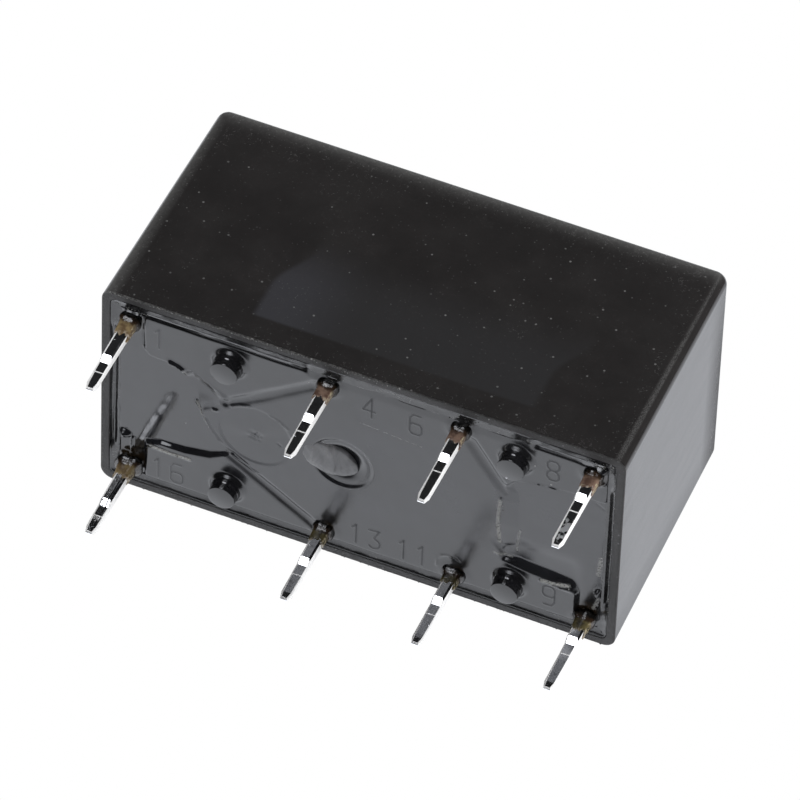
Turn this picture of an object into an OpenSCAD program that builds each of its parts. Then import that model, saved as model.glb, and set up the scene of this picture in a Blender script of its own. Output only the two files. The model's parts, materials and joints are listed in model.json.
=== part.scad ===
// Signal relay with two changeover contacts, for printed boards.
// +Z points up to the closed end of the cover, the terminals point down.
// The origin is the middle of the terminal pattern, on the board that the four feet stand on.
// The side at -Y carries terminals 1, 4, 6 and 8, and the side at +Y carries 16, 13, 11 and 9.

/* [Cover] */
// Distance from the end terminals' middle to the end of the cover
end_gap = 1.16; // [1.05:0.01:1.5]
// Distance from a row of terminals' middle to the side of the cover
side_gap = 1.14; // [1.03:0.01:1.5]
// Room over the armature's tab
head_room = 0.78; // [0.4:0.02:2]
// Thickness of the cover's side walls
wall = 0.35; // [0.25:0.01:0.4]
// Thickness of the cover's top
top_wall = 0.5; // [0.35:0.05:0.6]
// Slope of each side wall, as its offset at the top
draft = 0.15; // [0.05:0.01:0.18]
// Radius of the cover's upright corners
corner_r = 0.48; // [0.42:0.02:0.8]
// Radius of the cover's top edges
edge_r = 0.38; // [0.2:0.02:0.4]

/* [Base] */
// Height of the feet, from the board to the base
foot_high = 0.6; // [0.3:0.05:0.9]
// Radius of a foot at its end
foot_r = 0.52; // [0.35:0.01:0.6]
// Length of a foot's narrower end, below its step
foot_end = 0.27; // [0.2:0.01:0.29]
// Place of the left feet along the part
foot_left_x = -5.05; // [-5.2:0.05:-4.9]
// Place of the right feet along the part
foot_right_x = 5.95; // [5.85:0.05:6.1]
// Distance of the feet from the middle plane
foot_y = 3.28; // [3.2:0.02:3.4]
// Thickness of the base plate
base_t = 1; // [0.8:0.05:1.1]
// Clearance between the base plate and the cover
base_fit = 0.04; // [0.02:0.01:0.06]
// Width of the sealing groove round the base
seal_w = 0.28; // [0.2:0.01:0.32]
// Depth of the sealing groove
seal_deep = 0.35; // [0.25:0.05:0.5]
// Depth of the resin fields and channels in the base
field_deep = 0.15; // [0.08:0.01:0.2]
// Half width of the resin field at each end
field_y = 2.4; // [2.3:0.05:2.5]
// Width of the resin channels
channel_w = 0.5; // [0.4:0.05:0.6]
// Place of the gate disc along the part
gate_x = -4; // [-4.05:0.01:-3.95]
// Radius of the gate disc
gate_r = 1.42; // [1.3:0.02:1.5]
// Depth of the gate disc
gate_deep = 0.05; // [0.03:0.01:0.1]
// Radius of the land round the gate disc
land_r = 2.1; // [1.9:0.05:2.2]
// Place of the vent along the part
vent_x = -0.65; // [-0.75:0.05:-0.6]
// Radius of the vent's round recess
vent_r = 1.15; // [1.1:0.05:1.2]
// Depth of the vent's recess
vent_deep = 0.28; // [0.2:0.02:0.32]
// Radius of the vent's bore
vent_bore_r = 0.6; // [0.4:0.05:0.7]
// Height of the ribs that carry the yoke
rib_high = 0.5; // [0.45:0.05:0.6]

/* [Terminals] */
// Pitch of the board's grid
grid = 2.54; // [2.5:0.01:2.6]
// Width of a terminal along the part
pin_w = 0.5; // [0.4:0.05:0.55]
// Thickness of a terminal in the base
root_t = 0.4; // [0.35:0.01:0.44]
// Thickness of a terminal's coined end
blade_t = 0.26; // [0.2:0.01:0.3]
// Length of a terminal below the base
pin_drop = 3.6; // [3:0.1:4]
// Length of the coined blade of a coil terminal, with its ramp and tip
blade_len = 1.56; // [1.4:0.02:1.7]
// How much longer the coined blades get along the part, for each millimetre
coin_slope = 0.05; // [0:0.005:0.055]
// Length of the ramp from root to coined end
ramp = 0.28; // [0.15:0.01:0.4]
// Distance of the second, shallow coining step below the ramp
relief_gap = 0.47; // [0.3:0.01:0.6]
// Depth of the second coining step
relief = 0.03; // [0.01:0.005:0.05]
// Flat on each front edge of the thick root
root_flat = 0.08; // [0.04:0.01:0.1]
// Length of the tapered tip
tip = 0.28; // [0.2:0.01:0.4]
// Thickness of the contact springs' carriers inside
strip_t = 0.25; // [0.2:0.01:0.27]

/* [Coil] */
// Distance of the pole face from the coil terminals
pole_gap = 0.99; // [0.94:0.01:1.04]
// Radius of the pole face
pole_r = 2.1; // [1.8:0.05:2.2]
// Thickness of the pole face's disc
pole_t = 0.5; // [0.4:0.05:0.6]
// Radius of the core
core_r = 1.2; // [1:0.05:1.25]
// Wall of the bobbin's tube
tube_t = 0.25; // [0.2:0.01:0.3]
// Radius of the winding
coil_r = 2.5; // [2.3:0.05:2.6]
// Thickness of the tape round the winding
tape_t = 0.06; // [0.04:0.01:0.1]
// Thickness of the bobbin's flanges
flange_t = 0.5; // [0.4:0.02:0.52]
// Height of the flanges above the winding
flange_lip = 0.24; // [0.2:0.02:0.3]
// Thickness of the winding wire's leads
lead_d = 0.14; // [0.1:0.01:0.2]
// Clearance between parts that fit together
fit = 0.03; // [0.02:0.01:0.04]

/* [Magnet] */
// Thickness of the yoke
yoke_t = 0.8; // [0.7:0.02:0.82]
// Thickness of the armature
armature_t = 0.8; // [0.7:0.02:0.82]
// Width of the armature
armature_w = 4.6; // [4:0.1:4.8]
// Thickness of the armature's driving tab
tab_t = 0.45; // [0.4:0.01:0.5]
// Width of the armature's driving tab
tab_w = 1.6; // [1.2:0.1:1.6]
// Angle that the armature swings from rest to the pole, in degrees
swing = 4.5; // [4:0.1:4.6]
// Thickness of the armature's hinge spring
leaf_t = 0.1; // [0.08:0.01:0.12]
// Length of the hinge spring under the yoke
leaf_len = 2.9; // [2.6:0.05:3.1]

/* [Card] */
// Thickness of the card that drives the springs
card_t = 0.8; // [0.7:0.02:0.9]
// Width of the card's strip
card_w = 2.6; // [2.5:0.1:3]
// Width of the wall round the card's window
card_rim = 0.35; // [0.3:0.01:0.4]
// Clearance of the card on its guides
card_fit = 0.05; // [0.03:0.01:0.08]
// Gap between moving faces at rest
run = 0.02; // [0.01:0.005:0.03]

/* [Contacts] */
// Thickness of the moving springs
spring_t = 0.1; // [0.08:0.01:0.12]
// Width of the moving springs
spring_w = 1.1; // [1:0.05:1.2]
// Distance of the moving springs from the rows of terminals
spring_in = 0.76; // [0.71:0.01:0.81]
// Radius of the contacts
contact_r = 0.42; // [0.35:0.01:0.45]
// Height of each contact's head
contact_t = 0.3; // [0.25:0.01:0.32]
// Distance of the contacts below the card's fingers
contact_drop = 1.6; // [1.5:0.05:1.7]

/* [Hidden] */
$fn = 48;
cut = 0.01;

// Sides of the part
front = -1;
back = 1;

// Terminal pattern: two rows, three grid steps apart
row_y = 1.5 * grid;
coil_x = -3.5 * grid;
common_x = -0.5 * grid;
break_x = 1.5 * grid;
make_x = 3.5 * grid;

// Outside of the cover, and the heights of the base
body_len = 7 * grid + 2 * end_gap;
body_wid = 3 * grid + 2 * side_gap;
rim_z = foot_high;
floor_z = rim_z + base_t;

// Room inside the cover, and the base plate that closes it
room_len = body_len - 2 * wall;
room_wid = body_wid - 2 * wall;
base_len = room_len - 2 * base_fit;
base_wid = room_wid - 2 * base_fit;
land_len = base_len - 2 * seal_w;
land_wid = base_wid - 2 * seal_w;
inner_corner_r = corner_r - wall + 0.1;

// Fields and channels in the base
pad_x = coil_x + pin_w;
field_run = 1.8;
field_bend = [0.5, 0.15];
hub_x = gate_x - 1.2;
hub_y = 1.35;
right_field_x = 5.6;
right_pad_x = make_x - pin_w;
pad_corner_r = 0.2;
vestige_r = 0.18;

// Terminals
slot_gap = 0.02;
tip_w = 0.32;
tip_t = 0.12;
seal_spread = 0.13;
seal_rise = 0.3;
seal_neck = 0.05;
post_rise = 1.9;
post_z = floor_z + post_rise;

// Springs' place between the break and the make terminals, and the strips that carry them
spring_x = 2.5 * grid;
spring_y = row_y - spring_in;
strip_y = spring_y - 0.1;
strip_w = 0.8;
carrier_rise = 1.3;

// Ribs and cheeks of the base, and the yoke between them
rib_w = 0.8;
rib_gap = 0.5;
cheek_rise = 0.4;
cheek_t = 0.3;
cheek_y = strip_y - strip_w / 2 - cheek_t - fit;
yoke_w = 2 * (cheek_y - fit);

// Coil and magnet, from the pole face to the yoke's upright, whose back is level with the break terminals
pole_x = coil_x + pole_gap;
yoke_z = floor_z + rib_high;
flange_half = coil_r + tape_t + flange_lip;
coil_z = yoke_z + yoke_t + flange_half;
left_flange_x = pole_x + pole_t;
winding_x = left_flange_x + flange_t;
upright_x = break_x - yoke_t;
right_flange_x = upright_x - flange_t;
coil_len = right_flange_x - winding_x;
upright_rise = 1;
upright_z = coil_z + core_r + upright_rise;
tube_r = core_r + fit + tube_t;
bend_r = 0.3;
core_fit = 0.01;
hinge_x = pole_x - run;
hinge_z = yoke_z + 0.25;
armature_z = yoke_z + 0.1;
armature_top_z = coil_z + pole_r + 0.2;
leaf_z = yoke_z - fit - leaf_t;
leaf_rise = 1.7;
leaf_anchor_x = pole_x + leaf_len;
rib_places = [leaf_anchor_x + rib_gap, upright_x - rib_w - rib_gap - 0.1];

// Card and moving springs
card_z = coil_z + flange_half + run;
nose_r = 0.3;
nose_z = card_z + card_t / 2;
lever = nose_z - hinge_z;
travel = lever * swing * PI / 180;
spring_top_z = nose_z + 0.45;
spring_root_z = floor_z + 0.4;
spring_swing = travel / (nose_z - spring_root_z) * 180 / PI;
nose_x = spring_x - spring_t / 2 - run - nose_r;
tab_top_z = card_z + card_t + 0.2;
top_z = tab_top_z + head_room + top_wall;
window_len = tab_t + card_t * tan(swing) + 2 * card_fit;
window_x = hinge_x - tab_t / 2 - travel;
card_left_x = window_x - window_len / 2 - card_rim;
bar_len = 0.9;
bar_half = spring_y + spring_w / 2;
guide_t = 0.35;
guide_high = 0.6;

// Contacts
contact_z = nose_z - contact_drop;
crown = 0.06;
rivet_r = contact_r / 2;
rivet_fit = 0.02;
break_face_x = spring_x - spring_t / 2 - contact_t - run;
contact_travel = (contact_z - spring_root_z + contact_r) * sin(spring_swing);
make_face_x = spring_x + spring_t / 2 + contact_t + contact_travel + run;
arm_half = 0.62;
tab_in_y = spring_y - contact_r - 0.15;
tab_out_y = row_y + strip_t / 2;

// Rounded rectangle, centred, drawn from its arcs
module round_rect(len, wid, r) {
    square([len, wid - 2 * r], center = true);
    square([len - 2 * r, wid], center = true);
    for (sx = [-1, 1], sy = [-1, 1])
        translate([sx * (len / 2 - r), sy * (wid / 2 - r)]) circle(r);
}

// Straight slot with round ends, from point a to point b
module slot(a, b, w) {
    d = b - a;
    translate(a) rotate(atan2(d.y, d.x)) {
        translate([0, -w / 2]) square([norm(d), w]);
        circle(w / 2);
        translate([norm(d), 0]) circle(w / 2);
    }
}

// Box given by its lowest and highest corners
module block(low, high) {
    translate(low) cube(high - low);
}

// Flat outline in the YZ plane, grown along X from x
module plate_x(x, t) {
    translate([x, 0, 0]) rotate([90, 0, 90]) linear_extrude(t) children();
}

// Flat outline in the XZ plane, grown along +Y from y
module plate_y(y, t) {
    translate([0, y + t, 0]) rotate([90, 0, 0]) linear_extrude(t) children();
}

// Mirrors its children to the side that is asked for
module on_side(side) {
    if (side == back) children();
    else mirror([0, 1, 0]) children();
}

// Cover
// One drafted block with round corners and round top edges, for the outside and the room
module drafted_block(len, wid, low, high, r, top_r) {
    top_corner_x = len / 2 - draft - top_r;
    top_corner_y = wid / 2 - draft - top_r;
    hull() {
        translate([0, 0, low]) linear_extrude(cut) round_rect(len, wid, r);
        for (sx = [-1, 1], sy = [-1, 1])
            translate([sx * top_corner_x, sy * top_corner_y, high - top_r]) sphere(top_r, $fn = 32);
    }
}

module cover() {
    color([0.10, 0.10, 0.11]) difference() {
        drafted_block(body_len, body_wid, rim_z, top_z, corner_r, edge_r);
        drafted_block(room_len, room_wid, rim_z - cut, top_z - top_wall, inner_corner_r, edge_r / 2);
    }
}

// Base
// Resin field at the left end, bounded by the pads and by the land round the gate disc
module left_field() {
    difference() {
        for (side = [front, back]) scale([1, side]) {
            polygon([
                [-body_len / 2, 0], [-body_len / 2, body_wid / 2], [pad_x, body_wid / 2],
                [pad_x, field_y], [coil_x + field_run, field_y],
                [coil_x + field_run + field_bend.x, field_y - field_bend.y],
                [hub_x, hub_y], [hub_x, 0]
            ]);
        }
        translate([gate_x, 0]) circle(land_r);
    }
}

// Resin field at the right end
module right_field() {
    for (side = [front, back]) scale([1, side]) {
        polygon([
            [right_field_x, 0], [right_field_x - 0.1, 1], [right_field_x - 0.3, 1.7],
            [right_field_x + 0.9, field_y - 0.1], [right_field_x + 1.9, field_y],
            [right_pad_x, field_y], [right_pad_x, body_wid / 2],
            [body_len / 2, body_wid / 2], [body_len / 2, 0]
        ]);
    }
}

// Channels that lead resin from the fields to the terminals between them
module channels() {
    for (side = [front, back]) {
        slot([hub_x, side * (hub_y + 0.1)], [common_x - 0.4, side * (row_y - 0.15)], channel_w);
        slot([break_x + 0.3, side * (row_y - 0.3)], [right_field_x - 0.1, side * 1.3], channel_w);
    }
}

// Foot with a low step, drafted towards its end
module foot() {
    step = 0.03;
    lift = 0.03;
    cylinder(r1 = foot_r, r2 = foot_r + lift, h = foot_end + cut);
    translate([0, 0, foot_end])
        cylinder(r1 = foot_r + step, r2 = foot_r + step + lift, h = foot_high - foot_end + cut);
}

// Openings in the base for the eight terminals
module terminal_slots() {
    for (side = [front, back]) {
        for (x = [coil_x, common_x, break_x, make_x])
            translate([x, side * row_y, rim_z + base_t / 2])
                cube([pin_w + 2 * slot_gap, root_t + 2 * slot_gap, base_t + 1], center = true);
    }
}

module base() {
    color([0.16, 0.16, 0.17]) difference() {
        union() {
            translate([0, 0, rim_z + seal_deep])
                linear_extrude(base_t - seal_deep) round_rect(base_len, base_wid, inner_corner_r);
            translate([0, 0, rim_z])
                linear_extrude(base_t) round_rect(land_len, land_wid, pad_corner_r);
            for (x = [foot_left_x, foot_right_x], side = [front, back])
                translate([x, side * foot_y, 0]) foot();
            for (x = rib_places)
                block([x, -cheek_y, floor_z - cut], [x + rib_w, cheek_y, yoke_z]);
            for (x = rib_places, side = [front, back])
                on_side(side)
                    block([x, cheek_y, floor_z - cut], [x + rib_w, cheek_y + cheek_t, yoke_z + cheek_rise]);
        }
        translate([0, 0, rim_z - cut]) linear_extrude(field_deep + cut) difference() {
            union() {
                left_field();
                right_field();
                channels();
            }
            for (x = [foot_left_x, foot_right_x], side = [front, back])
                translate([x, side * foot_y]) circle(foot_r + 0.1);
        }
        translate([gate_x, 0, rim_z - cut]) difference() {
            cylinder(r = gate_r, h = gate_deep + cut);
            cylinder(r = vestige_r, h = gate_deep + cut);
        }
        translate([vent_x, 0, rim_z - cut]) cylinder(r1 = vent_r, r2 = vent_r - 0.2, h = vent_deep + cut);
        translate([vent_x, 0, rim_z]) cylinder(r = vent_bore_r, h = base_t + 1);
        terminal_slots();
    }
}

// Resin that closes the groove between the base and the cover's rim
module rim_seal() {
    sink = 0.02;
    color([0.20, 0.19, 0.18]) translate([0, 0, rim_z + sink])
        linear_extrude(seal_deep - sink) difference() {
            round_rect(room_len - 2 * fit, room_wid - 2 * fit, inner_corner_r);
            round_rect(land_len, land_wid, pad_corner_r);
        }
}

// Resin collar that creeps up one terminal and narrows as it leaves the base
module terminal_seal() {
    wide = [pin_w, root_t] + 2 * seal_spread * [1, 1];
    neck = [pin_w, root_t] + 2 * seal_neck * [1, 1];
    difference() {
        mirror([0, 0, 1])
            linear_extrude(seal_rise, scale = [neck.x / wide.x, neck.y / wide.y], slices = 1)
                round_rect(wide.x, wide.y, 1.5 * seal_spread, $fn = 24);
        translate([0, 0, -seal_rise / 2])
            cube([pin_w + 2 * slot_gap, root_t + 2 * slot_gap, seal_rise + 1], center = true);
    }
}

module terminal_seals() {
    color([0.30, 0.20, 0.10])
        for (x = [coil_x, common_x, break_x, make_x], side = [front, back])
            translate([x, side * row_y, rim_z]) terminal_seal();
}

// Resin plug in the vent
module vent_plug() {
    plug_r = vent_r - 0.3;
    color([0.33, 0.33, 0.33]) translate([vent_x, 0, 0]) {
        translate([0, 0, rim_z + 0.08]) cylinder(r1 = plug_r - 0.12, r2 = plug_r, h = vent_deep - 0.08);
        translate([0, 0, rim_z + vent_deep - cut])
            cylinder(r = vent_bore_r - fit, h = base_t - vent_deep - 0.1);
    }
}

// Terminals
// Part of a terminal from the base's top to its tip: thick root, coined blade, tapered tip.
// Both rows are coined on their -Y faces, as the frame of terminals was pressed from one side,
// and the coining starts higher from one terminal to the next.
module pin(x, side) {
    bottom = rim_z - pin_drop;
    coin_z = bottom + blade_len + (x - coil_x) * coin_slope;
    relief_z = coin_z - ramp - relief_gap;
    blade_y = root_t / 2 - blade_t;
    end_y = blade_y + relief;
    tip_y = (end_y + root_t / 2) / 2;
    translate([x, side * row_y, 0]) intersection() {
        plate_x(-pin_w / 2, pin_w) polygon([
            [-root_t / 2, floor_z], [-root_t / 2, coin_z], [blade_y, coin_z - ramp],
            [blade_y, relief_z], [end_y, relief_z - relief], [end_y, bottom + tip],
            [tip_y - tip_t / 2, bottom], [tip_y + tip_t / 2, bottom], [root_t / 2, bottom + tip],
            [root_t / 2, floor_z]
        ]);
        plate_y(-root_t / 2, root_t) polygon([
            [-pin_w / 2, floor_z], [-pin_w / 2, bottom + tip], [-tip_w / 2, bottom],
            [tip_w / 2, bottom], [pin_w / 2, bottom + tip], [pin_w / 2, floor_z]
        ]);
        translate([0, 0, bottom]) linear_extrude(floor_z - bottom) polygon([
            [-pin_w / 2, root_t / 2], [-pin_w / 2, root_flat - root_t / 2],
            [root_flat - pin_w / 2, -root_t / 2], [pin_w / 2 - root_flat, -root_t / 2],
            [pin_w / 2, root_flat - root_t / 2], [pin_w / 2, root_t / 2]
        ]);
    }
}

// Riser of a terminal inside, in the plane of its row
module riser(x_low, x_high, z_low, z_high) {
    block([x_low, row_y - strip_t / 2, z_low], [x_high, row_y + strip_t / 2, z_high]);
}

module coil_terminal(side) {
    notch = 0.12;
    color([0.80, 0.81, 0.82]) pin(coil_x, side);
    color([0.80, 0.81, 0.82]) on_side(side) {
        difference() {
            riser(coil_x - pin_w / 2, coil_x + pin_w / 2, floor_z - cut, post_z);
            for (dx = [-1, 1])
                block(
                    [coil_x + dx * pin_w / 2 - notch / 2, row_y - 1, post_z - 0.75],
                    [coil_x + dx * pin_w / 2 + notch / 2, row_y + 1, post_z - 0.3]
                );
        }
    }
}

// Common terminal: a strip on the base's floor leads to the carrier of the moving spring
module common_terminal(side) {
    carrier_x = spring_x - spring_t / 2 - run - strip_t;
    color([0.80, 0.81, 0.82]) pin(common_x, side);
    color([0.80, 0.81, 0.82]) on_side(side) {
        block(
            [common_x - pin_w / 2, strip_y - strip_w / 2, floor_z],
            [common_x + pin_w / 2 + 0.2, row_y + root_t / 2, floor_z + strip_t]
        );
        block(
            [common_x - pin_w / 2, strip_y - strip_w / 2, floor_z],
            [carrier_x + strip_t, strip_y + strip_w / 2, floor_z + strip_t]
        );
        plate_x(carrier_x, strip_t) difference() {
            translate([strip_y - strip_w / 2, floor_z]) square([strip_w, carrier_rise]);
            for (edge = [-1, 1])
                translate([strip_y + edge * strip_w / 2, floor_z + carrier_rise]) rotate(45)
                    square(0.25, center = true);
        }
    }
}

// Quarter bend that turns a flat strip from its row's plane to the plane of its contact
module quarter_bend(z_low, z_high) {
    translate([0, 0, z_low]) rotate_extrude(angle = 90)
        translate([0.1, 0]) square([strip_t, z_high - z_low]);
}

// Break terminal: riser, arm and a bent tab that carries the break contact
module break_terminal(side) {
    face_x = break_face_x - contact_t;
    low = contact_z - arm_half;
    high = contact_z + arm_half;
    color([0.80, 0.81, 0.82]) pin(break_x, side);
    color([0.80, 0.81, 0.82]) on_side(side) {
        plate_y(row_y - strip_t / 2, strip_t) polygon([
            [break_x - pin_w / 2, floor_z - cut], [break_x + pin_w / 2, floor_z - cut],
            [break_x + pin_w / 2, low - 0.4], [break_x + pin_w / 2 + 0.4, low],
            [face_x - strip_t - 0.1, low], [face_x - strip_t - 0.1, high],
            [break_x - pin_w / 2 + 0.3, high], [break_x - pin_w / 2, high - 0.3]
        ]);
        translate([face_x - strip_t - 0.1, row_y - strip_t / 2 - 0.1, 0]) quarter_bend(low, high);
        block([face_x - strip_t, tab_in_y, low], [face_x, row_y - strip_t / 2 - 0.1, high]);
    }
}

// Make terminal: riser, arm and a bent tab that carries the make contact
module make_terminal(side) {
    face_x = make_face_x + contact_t;
    low = contact_z - arm_half;
    high = contact_z + arm_half;
    color([0.80, 0.81, 0.82]) pin(make_x, side);
    color([0.80, 0.81, 0.82]) on_side(side) {
        plate_y(row_y - strip_t / 2, strip_t) polygon([
            [make_x + pin_w / 2, floor_z - cut], [make_x - pin_w / 2, floor_z - cut],
            [make_x - pin_w / 2, low - 0.4], [make_x - pin_w / 2 - 0.4, low],
            [face_x + strip_t + 0.1, low], [face_x + strip_t + 0.1, high],
            [make_x + pin_w / 2 - 0.3, high], [make_x + pin_w / 2, high - 0.3]
        ]);
        translate([face_x + strip_t + 0.1, row_y - strip_t / 2 - 0.1, 0]) rotate(90)
            quarter_bend(low, high);
        block([face_x, tab_in_y, low], [face_x + strip_t, row_y - strip_t / 2 - 0.1, high]);
    }
}

// Coil
module flange(x) {
    plate_x(x, flange_t) difference() {
        translate([0, coil_z]) round_rect(2 * flange_half + 0.2, 2 * flange_half, 0.4);
        translate([0, coil_z]) circle(core_r + fit);
    }
    for (side = [front, back])
        on_side(side)
            block(
                [x, card_w / 2 + card_fit, coil_z + flange_half - cut],
                [x + flange_t, card_w / 2 + card_fit + guide_t, coil_z + flange_half + guide_high]
            );
}

module bobbin() {
    color([0.90, 0.88, 0.80]) {
        flange(left_flange_x);
        flange(right_flange_x);
        translate([left_flange_x, 0, coil_z]) rotate([0, 90, 0]) difference() {
            cylinder(r = tube_r, h = coil_len + 2 * flange_t);
            translate([0, 0, -cut]) cylinder(r = core_r + fit, h = coil_len + 2 * flange_t + 2 * cut);
        }
    }
}

module winding() {
    inset = fit;
    color([0.70, 0.38, 0.18])
        translate([winding_x + inset, 0, coil_z]) rotate([0, 90, 0]) difference() {
            cylinder(r = coil_r, h = coil_len - 2 * inset);
            translate([0, 0, -cut]) cylinder(r = tube_r + fit, h = coil_len);
        }
}

module coil_tape() {
    inset = 0.25;
    color([0.85, 0.72, 0.25])
        translate([winding_x + inset, 0, coil_z]) rotate([0, 90, 0]) difference() {
            cylinder(r = coil_r + tape_t, h = coil_len - 2 * inset);
            translate([0, 0, -cut]) cylinder(r = coil_r + 0.01, h = coil_len);
        }
}

// Straight piece of wire with a round end
module wire(a, b, d) {
    v = b - a;
    translate(a) rotate([0, acos(v.z / norm(v)), atan2(v.y, v.x)]) cylinder(d = d, h = norm(v));
    translate(b) sphere(d = 1.04 * d);
}

// Lead from the winding, past the left flange, to its terminal
module coil_lead(side) {
    out_y = flange_half + 0.1 + lead_d / 2 + fit;
    end_y = row_y - strip_t / 2 - lead_d / 2 - 0.01;
    route = [
        [winding_x + 0.15, coil_r + lead_d / 2 + 0.01, coil_z],
        [winding_x + 0.12, out_y, coil_z - 0.9],
        [left_flange_x - 0.2, out_y + 0.05, coil_z - 1.4],
        [coil_x + 0.1, end_y, post_z - 0.25],
        [coil_x, end_y, post_z - 0.6]
    ];
    color([0.70, 0.38, 0.18]) on_side(side) {
        translate(route[0]) sphere(d = lead_d);
        for (i = [1 : len(route) - 1]) wire(route[i - 1], route[i], lead_d);
    }
}

// Magnet
module core() {
    stake = 0.15;
    color([0.66, 0.66, 0.68]) translate([pole_x, 0, coil_z]) rotate([0, 90, 0]) {
        cylinder(r1 = pole_r - 0.1, r2 = pole_r, h = 0.1);
        translate([0, 0, 0.1]) cylinder(r = pole_r, h = pole_t - 0.1 - run);
        cylinder(r = core_r, h = upright_x + yoke_t - pole_x);
        translate([0, 0, upright_x + yoke_t - pole_x])
            cylinder(r1 = core_r, r2 = core_r - stake, h = stake);
    }
}

module yoke() {
    far_x = upright_x + yoke_t;
    outer_r = bend_r + 0.5;
    color([0.62, 0.62, 0.64]) difference() {
        plate_y(-yoke_w / 2, yoke_w) {
            translate([pole_x, yoke_z]) square([far_x - outer_r - pole_x, yoke_t]);
            translate([upright_x, yoke_z + outer_r]) square([yoke_t, upright_z - yoke_z - outer_r]);
            difference() {
                translate([far_x - outer_r, yoke_z + outer_r]) circle(outer_r);
                translate([far_x - 3 * outer_r, yoke_z + yoke_t]) square([3 * outer_r - yoke_t, 3 * outer_r]);
                translate([far_x - 3 * outer_r, yoke_z]) square([2 * outer_r, 3 * outer_r]);
                translate([far_x - outer_r, yoke_z + outer_r]) square(2 * outer_r);
            }
        }
        translate([upright_x - 1, 0, coil_z]) rotate([0, 90, 0]) cylinder(r = core_r + core_fit, h = yoke_t + 2);
    }
}

// Armature, modelled against the pole and then swung back to rest
module armature() {
    color([0.64, 0.64, 0.66]) translate([hinge_x, 0, hinge_z]) rotate([0, -swing, 0])
        translate([-hinge_x, 0, -hinge_z]) intersection() {
            plate_x(hinge_x - armature_t, armature_t) polygon([
                [-armature_w / 2 + 0.4, armature_z], [armature_w / 2 - 0.4, armature_z],
                [armature_w / 2, armature_z + 0.4], [armature_w / 2, armature_top_z - 0.6],
                [armature_w / 2 - 0.6, armature_top_z], [tab_w / 2, armature_top_z],
                [tab_w / 2, tab_top_z], [-tab_w / 2, tab_top_z], [-tab_w / 2, armature_top_z],
                [-armature_w / 2 + 0.6, armature_top_z], [-armature_w / 2, armature_top_z - 0.6],
                [-armature_w / 2, armature_z + 0.4]
            ]);
            plate_y(-armature_w / 2, armature_w) polygon([
                [hinge_x, armature_z], [hinge_x - armature_t, armature_z],
                [hinge_x - armature_t, armature_top_z - 0.1], [hinge_x - tab_t, armature_top_z + 0.1],
                [hinge_x - tab_t, tab_top_z], [hinge_x, tab_top_z]
            ]);
        }
}

// Leaf under the yoke that holds the armature's foot and swings it back
module hinge_spring() {
    leaf_w = 2;
    back_x = hinge_x - armature_t - (leaf_z + leaf_rise - hinge_z) * tan(swing) - run;
    color([0.85, 0.66, 0.38]) {
        block([back_x - leaf_t, -leaf_w / 2, leaf_z], [leaf_anchor_x, leaf_w / 2, leaf_z + leaf_t]);
        plate_x(back_x - leaf_t, leaf_t) difference() {
            translate([-leaf_w / 2, leaf_z]) square([leaf_w, leaf_rise]);
            translate([0, leaf_z + 0.9]) circle(0.35);
        }
    }
}

// Card
module card() {
    bar_x = nose_x - bar_len;
    bar_slope = 1.2;
    window_y = tab_w / 2 + card_fit;
    color([0.93, 0.93, 0.90]) {
        translate([0, 0, card_z]) linear_extrude(card_t) difference() {
            union() {
                translate([card_left_x, -card_w / 2]) square([bar_x - card_left_x + cut, card_w]);
                polygon([
                    [bar_x - bar_slope, card_w / 2], [bar_x, bar_half], [nose_x, bar_half],
                    [nose_x, -bar_half], [bar_x, -bar_half], [bar_x - bar_slope, -card_w / 2]
                ]);
            }
            translate([window_x - window_len / 2, -window_y]) square([window_len, 2 * window_y]);
            translate([winding_x + coil_len / 2, 0]) round_rect(coil_len * 0.6, card_w * 0.4, 0.4);
        }
        for (side = [front, back])
            on_side(side)
                translate([nose_x, spring_y - spring_w / 2, nose_z]) rotate([-90, 0, 0])
                    cylinder(r = nose_r, h = spring_w);
    }
}

// Contacts
// Moving spring, a flat leaf that tapers from its root to the card's finger
module moving_spring(side) {
    neck = spring_w * 0.7;
    root_high = 1.2;
    head_drop = 0.8;
    taper = 0.7;
    color([0.85, 0.66, 0.38]) on_side(side) difference() {
        plate_x(spring_x - spring_t / 2, spring_t) polygon([
            [spring_y - spring_w / 2, spring_root_z], [spring_y + spring_w / 2, spring_root_z],
            [spring_y + spring_w / 2, spring_root_z + root_high],
            [spring_y + neck / 2, spring_root_z + root_high + taper],
            [spring_y + neck / 2, contact_z - head_drop - taper],
            [spring_y + spring_w / 2, contact_z - head_drop],
            [spring_y + spring_w / 2, spring_top_z], [spring_y - spring_w / 2, spring_top_z],
            [spring_y - spring_w / 2, contact_z - head_drop],
            [spring_y - neck / 2, contact_z - head_drop - taper],
            [spring_y - neck / 2, spring_root_z + root_high + taper],
            [spring_y - spring_w / 2, spring_root_z + root_high]
        ]);
        translate([spring_x - 1, spring_y, contact_z]) rotate([0, 90, 0]) cylinder(r = rivet_r + rivet_fit, h = 2);
    }
}

// Contact head with a low crown, its back at x = 0 and its face towards +X
module contact_head() {
    rotate([0, 90, 0]) {
        cylinder(r = contact_r, h = contact_t - crown);
        translate([0, 0, contact_t - crown]) cylinder(r1 = contact_r, r2 = contact_r - 0.15, h = crown);
    }
}

// Double rivet through the moving spring
module moving_contact(side) {
    color([0.90, 0.90, 0.88]) on_side(side) translate([spring_x, spring_y, contact_z]) {
        translate([spring_t / 2, 0, 0]) contact_head();
        translate([-spring_t / 2, 0, 0]) mirror([1, 0, 0]) contact_head();
        rotate([0, 90, 0]) cylinder(r = rivet_r, h = spring_t + 2 * cut, center = true);
    }
}

module break_contact(side) {
    color([0.90, 0.90, 0.88]) on_side(side)
        translate([break_face_x - contact_t, spring_y, contact_z]) contact_head();
}

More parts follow.
